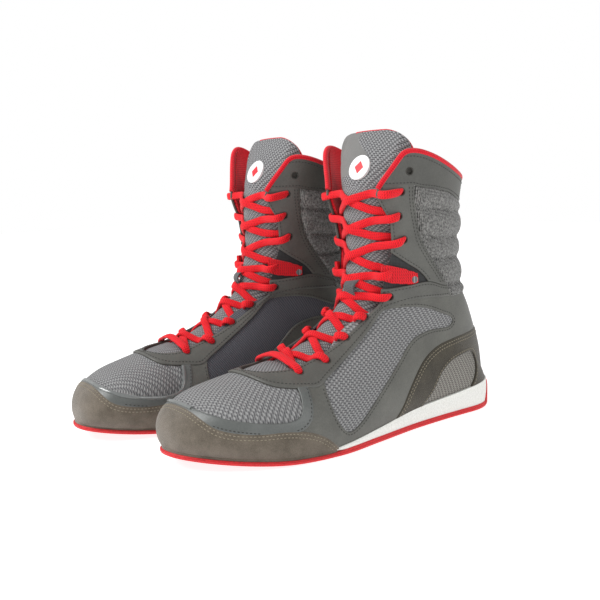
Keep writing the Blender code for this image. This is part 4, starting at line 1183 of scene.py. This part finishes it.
def tongue_front(v):
    """The tongue's forward direction in side view at v, square to its length."""
    dv = 0.02
    ta, tz = float(tongue_a(v + dv) - tongue_a(v - dv)), float(tongue_z(v + dv) - tongue_z(v - dv))
    front = np.array([tz, -ta]) / math.hypot(ta, tz)
    return -front if front[0] < 0 and front[1] < 0 else front


def tongue_point(v, u, depth=0.0):
    """A point of the tongue: v runs up it, u from the inner edge (-1) to the outer (+1)."""
    front = tongue_front(v)
    down = float(tongue_drop(v)) * u * u + depth
    x = float(centre(tongue_a(v), tongue_z(v))) + u * float(tongue_half(v))
    return np.array([x, float(tongue_a(v)) - front[0] * down, float(tongue_z(v)) - front[1] * down])


def tongue_at(a, z):
    """The place up the tongue that is nearest to side-view place (a, z)."""
    vs = np.linspace(0, len(TONGUE_PATH) - 1, 321)
    return float(vs[np.argmin((tongue_a(vs) - a) ** 2 + (tongue_z(vs) - z) ** 2)])


def tongue_rise(v):
    """The front half of the tongue swells up between the eyestays."""
    return TONGUE_RISE * ease(RISE_END - v, 0.0, RISE_FADE)


def tongue_pad(v, u):
    """How far the stuffed face stands over the tongue's plain form."""
    rim = max(1.0 - abs(u) ** 6, 0.0)
    end = min(max((16.05 - v) / 0.5, 0.0), 1.0)
    fold = math.exp(-((v - FOLD_V) / FOLD_WIDTH) ** 2)
    return PAD_RISE * rim * math.sqrt(end) - FOLD_DIP * fold * rim + tongue_rise(v) * max(1 - u * u, 0.0)


def flap_point(v, u, depth=0.0):
    """A point of the tongue, with the flap's wings bent back round the shin above the fold."""
    over = max(abs(u) - 1.0, 0.0)
    if over == 0.0:
        return tongue_point(v, u, depth)
    edge = tongue_point(v, math.copysign(1.0, u), 0.0)
    front = tongue_front(v)
    half = float(tongue_half(v))
    bend = min(over / WING_BEND, 1.0)
    flat = 1.0 if u < 0 else 0.0
    out = 0.15 * half * (1 - (1 - bend) ** 2) + flat * half * over * 0.7
    back = (half * over * 0.85 + 1.0 * bend) * (1 - 0.7 * flat)
    inward = np.array([math.copysign(depth * bend, u), 0.0, 0.0])
    p = edge + np.array([math.copysign(out, u), -front[0] * back, -front[1] * back])
    return p - inward - np.array([0.0, *front]) * depth * (1 - bend)


def flap_span(v):
    """How far the flap reaches on its inner and outer side at v; its top corners are rounded."""
    inner = np.interp(v, [13.8, 14.6, 15.3, 15.7, 15.88, 15.96, 16.0],
                      [1.0, 1.07, 1.14, 1.16, 1.12, 1.06, 0.96])
    outer = np.interp(v, [12.7, 14.3, 14.8, 15.2, 15.6, 15.85, 16.0],
                      [1.0, 1.75, 1.75, 1.55, 1.2, 0.85, 0.5])
    return float(inner), float(outer)


def build_tongue(part_smooth):
    """One padded piece from the toe end to the top of the flap; part of one flap's face is smooth."""
    vs = np.concatenate([np.linspace(0, 11, 56), np.linspace(11, 14.6, 41)[1:],
                         np.linspace(14.6, 16, 25)[1:]])
    shares = np.linspace(-1, 1, 57)
    sections, uv, up = [], [], 0.0
    for i, v in enumerate(vs):
        if i:
            last = vs[i - 1]
            up += math.hypot(float(tongue_a(v) - tongue_a(last)), float(tongue_z(v) - tongue_z(last)))
        inner, outer = flap_span(float(v))
        us = [share * (outer if share > 0 else inner) for share in shares]
        taper = 1.0 if v < 15.7 else 1.0 - 0.45 * (v - 15.7) / 0.3
        full = TONGUE_THICK * taper * (0.75 if v > 13 else 1.0)
        thick = [full * (1.0 - 0.62 * abs(share) ** 3) for share in shares]
        top = [flap_point(v, u, -tongue_pad(v, min(abs(u), 1.0))) for u in us]
        low = [flap_point(v, u, t) for u, t in zip(us[::-1], thick[::-1])]
        sections.append(top + low)
        wide = float(tongue_half(v))
        uv += [(u * wide, up) for u in us] + [(u * wide, up) for u in us[::-1]]
    shape = loft(sections, "tongue_mesh", uv)
    count, m = len(shares), 2 * len(shares)
    for i in range(len(vs) - 1):
        v = (vs[i] + vs[i + 1]) / 2
        inner, outer = flap_span(v)
        for s in range(m):
            face = 2 + i * m + s
            if s >= count - 1:
                shape.materials[face] = "lining" if v > FOLD_V else "smooth"
            elif v > FOLD_V:
                share = (shares[s] + shares[s + 1]) / 2
                u = share * (outer if share > 0 else inner)
                smooth = part_smooth and u < 0.42 - 0.85 * ease(v, 13.2, 15.6) and v > 12.6
                shape.materials[face] = "smooth" if smooth or (part_smooth and u < -0.82) else "flap_mesh"
    return shape


def build_flap_trim():
    """Red piping along the flap's top edge and down its outer corner."""
    spots = [(v, flap_span(v)[1] * 0.99) for v in np.linspace(14.0, 15.98, 16)]
    spots += [(15.98, u) for u in np.linspace(flap_span(15.98)[1], -0.72, 30)[1:]]
    line = []
    for v, u in spots:
        front = tongue_front(v)
        line.append([*flap_point(v, u, 1.0), 0.0, front[0], front[1]])
    line = np.array(line)
    line[:, :3] = smooth_run(line[:, :3], False, 3)
    return sweep(resample(line, way_along(line[:, :3]), 1.5), 1.35, 1.35, "piping", 10)


def build_badge():
    """A plain white disc that carries a plain red diamond."""
    v = tongue_at(*BADGE_PLACE)
    middle = tongue_point(v, BADGE_SHARE, -0.6)
    normal = tongue_flat(v, BADGE_SHARE)
    across = np.array([1.0, 0.0, 0.0])
    across -= normal * (across @ normal)
    across /= np.linalg.norm(across)
    up = np.cross(across, normal)
    if up[2] < 0:
        up = -up
    profile = ((BADGE_R, -1.0), (BADGE_R, 0.75), (BADGE_R - 0.25, 1.0), (BADGE_R - 0.9, 1.05),
               (BADGE_R - 1.2, 0.85))
    disc = loft(turned_rings(middle, normal, across, up, profile, 64), "badge")
    corners = [(MARK_R, 0), (0, MARK_R * 1.15), (-MARK_R, 0), (0, -MARK_R * 1.15)]
    low, high = ([middle + normal * lift + across * x + up * y for x, y in corners] for lift in (0.7, 1.1))
    mark = loft([low, high], "badge_mark")
    return disc + mark


def build_keeper(middle):
    """The band of ribbed webbing that keeps the tongue centred under the lace."""
    v = tongue_at(*KEEPER_PLACE)
    sections, uv = [], []
    shares = np.linspace(-1, 1, 7)
    for at in np.linspace(-KEEPER_REACH, KEEPER_REACH, 15):
        rise = 1.7 + KEEPER_ARCH * (1 - (at / KEEPER_REACH) ** 2) + tongue_rise(v + at)
        top = [tongue_point(v + at, middle + u * KEEPER_HALF, -(rise + 1.0)) for u in shares]
        low = [tongue_point(v + at, middle + u * KEEPER_HALF, -(rise - 0.3)) for u in shares[::-1]]
        sections.append(top + low)
        uv += [(at * 14, u * 3.6) for u in shares] * 2
    return loft(sections, "grey_webbing", uv)


# ---------------------------------------------------------------- lace
LACE_HALF_W, LACE_HALF_H = 3.1, 1.5
LACE_UNDER, LACE_OVER = -4.6, 3.3      # heights over the leather where it passes inside and outside
LACE_LIFT = 2.4                        # height over the tongue where it crosses
LACE_STEP = 0.8
CROSSING_SHARES = (-0.62, -0.3, 0.0, 0.3, 0.62)
DIVE_SHARE = 0.14                      # how far up to the next row it comes out from under the edge


def lace_crossing(start, end, side, over):
    """The stretch over the tongue from one side to the other; the strand on top humps over the one below."""
    v0, v1 = tongue_at(*start[0][1:]), tongue_at(*end[0][1:])
    points = []
    for share in CROSSING_SHARES:
        hump = 2 * LACE_HALF_H if over and share == 0.0 else 0.0
        v = v0 + (v1 - v0) * (0.5 + 0.5 * share)
        lift = LACE_LIFT + hump + tongue_rise(v) * (1 - share * share)
        points.append((tongue_point(v, -side * share, -lift), tongue_flat(v, -side * share)))
    return points


def tongue_flat(v, u):
    """The tongue's outward direction at a place across it."""
    front = tongue_front(v)
    lean = 2 * float(tongue_drop(v)) * u / float(tongue_half(v))
    n = np.array([lean, front[0], front[1]])
    return n / np.linalg.norm(n)


def through_eyelet(place, normal, way):
    """The two places where the lace enters an eyelet and leaves it on the inside."""
    return [(place + normal * 1.0, -way), (place + normal * (LACE_UNDER + 1.3), -way)]


def lace_strand(eye, rows, first_side):
    """One half of the lace: down through an eyelet, out under the edge, over the tongue, and so on up."""
    side, points = first_side, []
    for i in range(rows - 1):
        here, there = eye[side, i], eye[-side, i + 1]
        c, n, t = here
        c2, n2 = there[:2]
        v = (1 - DIVE_SHARE) * tongue_at(*c[1:]) + DIVE_SHARE * tongue_at(*c2[1:])
        u = side * 0.82
        points += through_eyelet(c, n, t)
        points += [(c + n * LACE_UNDER + t * 2.2, n),
                   (tongue_point(v, u, -3.6 - 0.33 * tongue_rise(v)), tongue_flat(v, u))]
        points += lace_crossing(here, there, side, (side == 1) == (i % 2 == 0))
        way = points[-1][0] - c2
        way -= n2 * (way @ n2)
        way /= np.linalg.norm(way)
        top_row = float(np.interp(c2[2], [170.0, 178.0], [0.0, 1.0]))
        points += [(c2 + n2 * (LACE_OVER + 1.3 * top_row) + way * (7.5 + 8.0 * top_row), n2),
                   (c2 + n2 * LACE_OVER + way * (1.8 + 3.0 * top_row), n2)]
        side = -side
    c, n, t = eye[side, rows - 1]
    down = eye[side, rows - 2][0] - c
    down /= np.linalg.norm(down)
    return points + through_eyelet(c, n, t) + [(c + n * LACE_UNDER + down * 3.0, n)]


def build_lace():
    """One flat lace, from a hidden end up one side, over the bar and up the other side."""
    places = EYELETS + [LOOP_EYE] + SHAFT_EYELETS
    eye = {(s, i): on_surface(*places[i], s) for s in (1, -1) for i in range(len(places))}
    c, n, t = eye[1, 0]
    d, m, u = eye[-1, 0]
    top = np.array([0.0, 0.3, 0.95])
    bar = [(c + n * LACE_OVER + t * 2.2, n), (c + n * LACE_OVER + t * 6.0, n),
           ((c + d) / 2 + np.array([0.0, 3.0, 11.0]), top),
           (d + m * LACE_OVER + u * 6.0, m), (d + m * LACE_OVER + u * 2.2, m)]
    route = lace_strand(eye, len(places), 1)[::-1] + bar + lace_strand(eye, len(places), -1)
    points = np.array([p for p, _ in route])
    flats = np.array([f for _, f in route])
    rows = []
    for i in range(len(points) - 1):
        near = [points[min(max(i + j, 0), len(points) - 1)] for j in (-1, 0, 1, 2)]
        long = np.linalg.norm(near[2] - near[1])
        shares = np.arange(0.0, 1.0, 1 / max(int(long / LACE_STEP), 2))
        for f, place in zip(shares, smooth_step(*near, long, shares)):
            rows.append([*place, *(flats[i] * (1 - f) + flats[i + 1] * f)])
    return sweep(smooth_run(rows, False, 9), LACE_HALF_W, LACE_HALF_H, "lace", 14)


# ---------------------------------------------------------------- soles
def plan_outline(count=150):
    """The foot's outline in plan, once round, with its outward direction at each point."""
    span = HEEL_START + (FOOT_LENGTH - HEEL_START) * (1 - np.cos(np.linspace(0, math.pi, count))) / 2
    outer = np.stack([centre_bend(span) + sole_width(span, 1), span], -1)
    inner = np.stack([centre_bend(span) - sole_width(span, -1), span], -1)
    ring = np.concatenate([outer, inner[-2:0:-1]])
    step = np.roll(ring, -1, 0) - np.roll(ring, 1, 0)
    normal = np.stack([step[:, 1], -step[:, 0]], -1)
    return ring, normal / np.linalg.norm(normal, axis=1, keepdims=True)


def sole_rings(rows_at, material):
    """A sole layer: rows_at gives, for a forward place, its rows of (grow, height) from bottom to top."""
    ring, normal = plan_outline()
    rows = np.array([rows_at(float(a)) for a in ring[:, 1]])
    sections = []
    for i in range(rows.shape[1]):
        flat = ring + normal * rows[:, i, :1]
        sections.append(np.column_stack([flat, rows[:, i, 1]]))
    return loft(sections, material)


def build_outsole():
    """The red rubber outsole, with a groove round its edge, a tread below and a lip up the heel."""
    def rows(a):
        g = float(ground(a))
        top = g + OUTSOLE_THICK - 1.3 * ease(a, 176.0, 198.0)
        return [(-6.0, g), (1.2, g), (2.2, g + 0.4), (2.6, g + 1.2), (2.6, g + 2.2), (2.25, g + 2.35),
                (2.25, g + 2.65), (2.55, g + 2.8), (2.5, top - 0.8), (2.1, top - 0.2), (1.2, top),
                (-6.0, top)]

    sole = sole_rings(rows, "rubber")
    sole.materials[0] = "tread"
    return sole + heel_lip()


def toe_rand():
    """The strip of suede that carries the bumper down to the outsole."""
    def rows(a):
        g = float(ground(a))
        grow = 1.35 - 4.5 * (1.0 - ease(a, 182.0, 194.0))
        low, top = g + OUTSOLE_THICK - 1.6, float(feather(a)) + 1.6
        return [(-6.0, low), (grow, low), (grow + 0.15, low + 1.2), (grow - 0.2, top - 0.8),
                (grow - 0.9, top), (-6.0, top - 0.3)]

    return sole_rings(rows, "suede")


LIP_REACH, LIP_LOW, LIP_HIGH = 20.0, 3.0, 22.0


def heel_lip():
    """The thin lip of the outsole that wraps up the back of the heel."""
    sections = []
    reach = np.linspace(LIP_REACH, HEEL_START + 0.72, 14)
    places = [(a, -1) for a in reach] + [(a, 1) for a in reach[::-1]]
    outline = np.array([[centre_bend(a) + s * sole_width(a, s), a] for a, s in places], float)
    step = np.gradient(outline, axis=0)
    normal = np.stack([-step[:, 1], step[:, 0]], -1)
    normal /= np.linalg.norm(normal, axis=1, keepdims=True)
    if normal[len(normal) // 2, 1] > 0:
        normal = -normal
    share = np.linspace(-1, 1, len(outline))
    for p, n, f in zip(outline, normal, share):
        high = LIP_LOW + (LIP_HIGH - LIP_LOW) * max(1.0 - abs(f) ** 2.4, 0.0)
        profile = [(1.6, 2.0), (2.9, 2.0), (3.0, high - 1.2), (2.7, high - 0.3), (2.2, high),
                   (1.2, high - 0.2)]
        sections.append([(p[0] + n[0] * g, p[1] + n[1] * g, z) for g, z in profile])
    return loft(sections, "rubber")


def build_midsole():
    """The white foam wedge; towards the toe it thins out and hides behind the suede."""
    def rows(a):
        low = float(ground(a)) + OUTSOLE_THICK - 0.4
        hidden = ease(a, 186.0, 199.0)
        top = max(float(feather(a)) + 1.0, low + 0.8) * (1 - hidden) + (low + 0.3) * hidden
        made = [(-6.0, low)]
        for t in np.linspace(0.0, 1.0, 8):
            made.append((1.3 + 0.75 * math.sin(math.pi * min(max(t, 0.05), 0.93)) ** 0.5 - 3.0 * hidden,
                         low + (top - low) * t))
        return made + [(0.3 - 3.0 * hidden, top + 0.1), (-6.0, top)]

    return sole_rings(rows, "foam")


def inner_layer(heel, toe, grow, low, high, soft, material):
    """A layer inside the boot; heel and toe are how much further it stays back at the two ends."""
    def rows(a):
        base = float(feather(a))
        g = grow - heel * (1 - ease(a, 5.0, 45.0)) - toe * ease(a, 235.0, 288.0)
        return [(g - soft, base + low), (g, base + low + soft), (g, base + high - soft),
                (g - 0.4 * soft, base + high - 0.3 * soft), (g - soft, base + high)]

    return sole_rings(rows, material)


# ---------------------------------------------------------------- the pair
TWO_SIDED = ("quarter", "quarter_mesh", "heel_mesh", "shaft_eyestay", "ankle_loop")   # a node for each side
ONLY_LOOKS = ("gusset", "throat_front")


def stands_for(name):
    """The CAD nodes that a piece replaces."""
    if name in ONLY_LOOKS:
        return ()
    return (f"{name}_lateral", f"{name}_medial") if name in TWO_SIDED else (name,)


def build_pair():
    """Makes the shapes and places them for both boots."""
    sheet = make_sheet()
    panels = build_panels(sheet)
    on_leather, on_suede = build_stitches(sheet)
    rims, loops = eyelet_rims(), build_loop(1) + build_loop(-1)
    piping, trim, badge = build_piping(sheet), build_flap_trim(), build_badge()
    tongues = {"left": build_tongue(True), "right": other_hand(build_tongue(False))}
    trims = {"left": trim, "right": other_hand(trim)}
    badges = {"left": badge, "right": other_hand(badge)}
    keepers = {boot: build_keeper(KEEPER_SHARE[boot]) for boot in BOOTS}
    soles = {"outsole": build_outsole(), "midsole": build_midsole(),
             "insole_board": inner_layer(5.0, 4.0, -8.0, 0.6, 2.4, 0.3, "board"),
             "footbed": inner_layer(6.0, 5.0, -9.0, 3.0, 6.4, 0.9, "lining")}
    lace = build_lace()
    for boot in BOOTS:
        for name, shape in panels.items():
            obj = place_shape(shape, name, boot, stands_for(name))
        place_shape(on_leather, "dark_stitches", boot)
        place_shape(on_suede, "beige_stitches", boot)
        place_shape(rims, "eyelet_rims", boot)
        cord = place_shape(piping, "collar_piping", boot, ("collar_piping",))
        place_shape(loops, "ankle_loops", boot, stands_for("ankle_loop"))
        tongue = place_shape(tongues[boot], "tongue", boot, ("tongue", "tongue_flap"),
                             body=False)
        low, high = to_world([tongue_point(FOLD_V + d, 0.0) for d in (-FOLD_BLEND, FOLD_BLEND)], boot)
        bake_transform(tongue)
        place_shape(trims[boot], "flap_piping", boot, body="tongue_flap")
        place_shape(badges[boot], "badge", boot, ("tongue_badge",), sharp=30.0,
                    body="tongue_flap")
        place_shape(keepers[boot], "tongue_loop", boot, ("tongue_loop",))
        place_shape(lace, "lace", boot, ("lace",), sharp=80.0)
        for name, shape in soles.items():
            place_shape(shape, name, boot, (name,))


build_pair()


# ---------------------------------------------------------------- the studio
# Each area light's place, what it is aimed at, the sides of its square in metres, and its power in watts.
LIGHTS = {"key": ((-0.35, -1.0, 1.1), (0.0, 0.0, 0.08), 0.9, 20.0),
          "side": ((1.2, 0.4, 0.6), (0.0, 0.0, 0.1), 0.7, 3.5)}
WHITE = (1.0, 1.0, 1.0, 1.0)
FLOOR_REACH, FLOOR_BACK, FLOOR_GLOW = 3.0, 2.2, 0.84
WORLD_LIGHT = 0.55
CAMERA_PLACE = (0.5590, -0.4034, 0.193)
# Degrees: the way from the boots to the camera, and the camera's turn about that line.
AZIMUTH, ELEVATION, ROLL = 52.8, 8.11, -1.98
LENS, SENSOR = 51.9, 36.0


def area_light(name, place, target, size, power):
    """A square lamp at a place, aimed at a target."""
    light = bpy.data.lights.new(name, "AREA")
    light.shape = "RECTANGLE"
    light.size = light.size_y = size
    light.energy = power
    obj = bpy.data.objects.new(name, light)
    obj.location = place
    obj.rotation_euler = (Vector(target) - Vector(place)).to_track_quat("-Z", "Y").to_euler()
    bpy.context.scene.collection.objects.link(obj)


def build_stage():
    """The bright floor, the world that lights it evenly and shows as white, and the lights."""
    floor = bpy.data.meshes.new("floor")
    corners = [(-FLOOR_REACH, -FLOOR_REACH, 0), (FLOOR_REACH, -FLOOR_REACH, 0), (FLOOR_REACH, FLOOR_BACK, 0),
               (-FLOOR_REACH, FLOOR_BACK, 0)]
    floor.from_pydata(corners, [], [(0, 1, 2, 3)])
    look = Look("floor", (0.5, 0.5, 0.5, 1.0), 0.7, Emission_Color=WHITE, Emission_Strength=FLOOR_GLOW)
    floor.materials.append(look.material)
    obj = bpy.data.objects.new("floor", floor)
    obj.location = (0.0, 0.0, -0.0002)
    bpy.context.scene.collection.objects.link(obj)
    world = bpy.data.worlds.new("studio")
    world.use_nodes = True
    tree = world.node_tree
    back, out = tree.nodes["Background"], tree.nodes["World Output"]
    back.inputs["Color"].default_value = WHITE
    back.inputs["Strength"].default_value = WORLD_LIGHT
    seen = tree.nodes.new("ShaderNodeBackground")
    seen.inputs["Color"].default_value = WHITE
    seen.inputs["Strength"].default_value = 1.0
    ray, mix = tree.nodes.new("ShaderNodeLightPath"), tree.nodes.new("ShaderNodeMixShader")
    tree.links.new(ray.outputs["Is Camera Ray"], mix.inputs[0])
    tree.links.new(back.outputs[0], mix.inputs[1])
    tree.links.new(seen.outputs[0], mix.inputs[2])
    tree.links.new(mix.outputs[0], out.inputs["Surface"])
    bpy.context.scene.world = world
    for name, values in LIGHTS.items():
        area_light(name, *values)


def build_camera():
    """The camera, at about the collars' height, in front of the boots and to the left boot's outer side."""
    azimuth, elevation, roll = (math.radians(v) for v in (AZIMUTH, ELEVATION, ROLL))
    back = Vector((math.sin(azimuth) * math.cos(elevation), -math.cos(azimuth) * math.cos(elevation),
                   math.sin(elevation)))
    right = Vector((math.cos(azimuth), math.sin(azimuth), 0.0))
    up = back.cross(right)
    across = right * math.cos(roll) + up * math.sin(roll)
    above = -right * math.sin(roll) + up * math.cos(roll)
    camera = bpy.data.cameras.new("camera")
    camera.lens = LENS
    camera.sensor_width = SENSOR
    obj = bpy.data.objects.new("camera", camera)
    rows = [[across[i], above[i], back[i], CAMERA_PLACE[i]] for i in range(3)]
    obj.matrix_world = Matrix(rows + [[0, 0, 0, 1]])
    bpy.context.scene.collection.objects.link(obj)
    bpy.context.scene.camera = obj
    bpy.context.scene.view_settings.view_transform = "Standard"


build_stage()
build_camera()
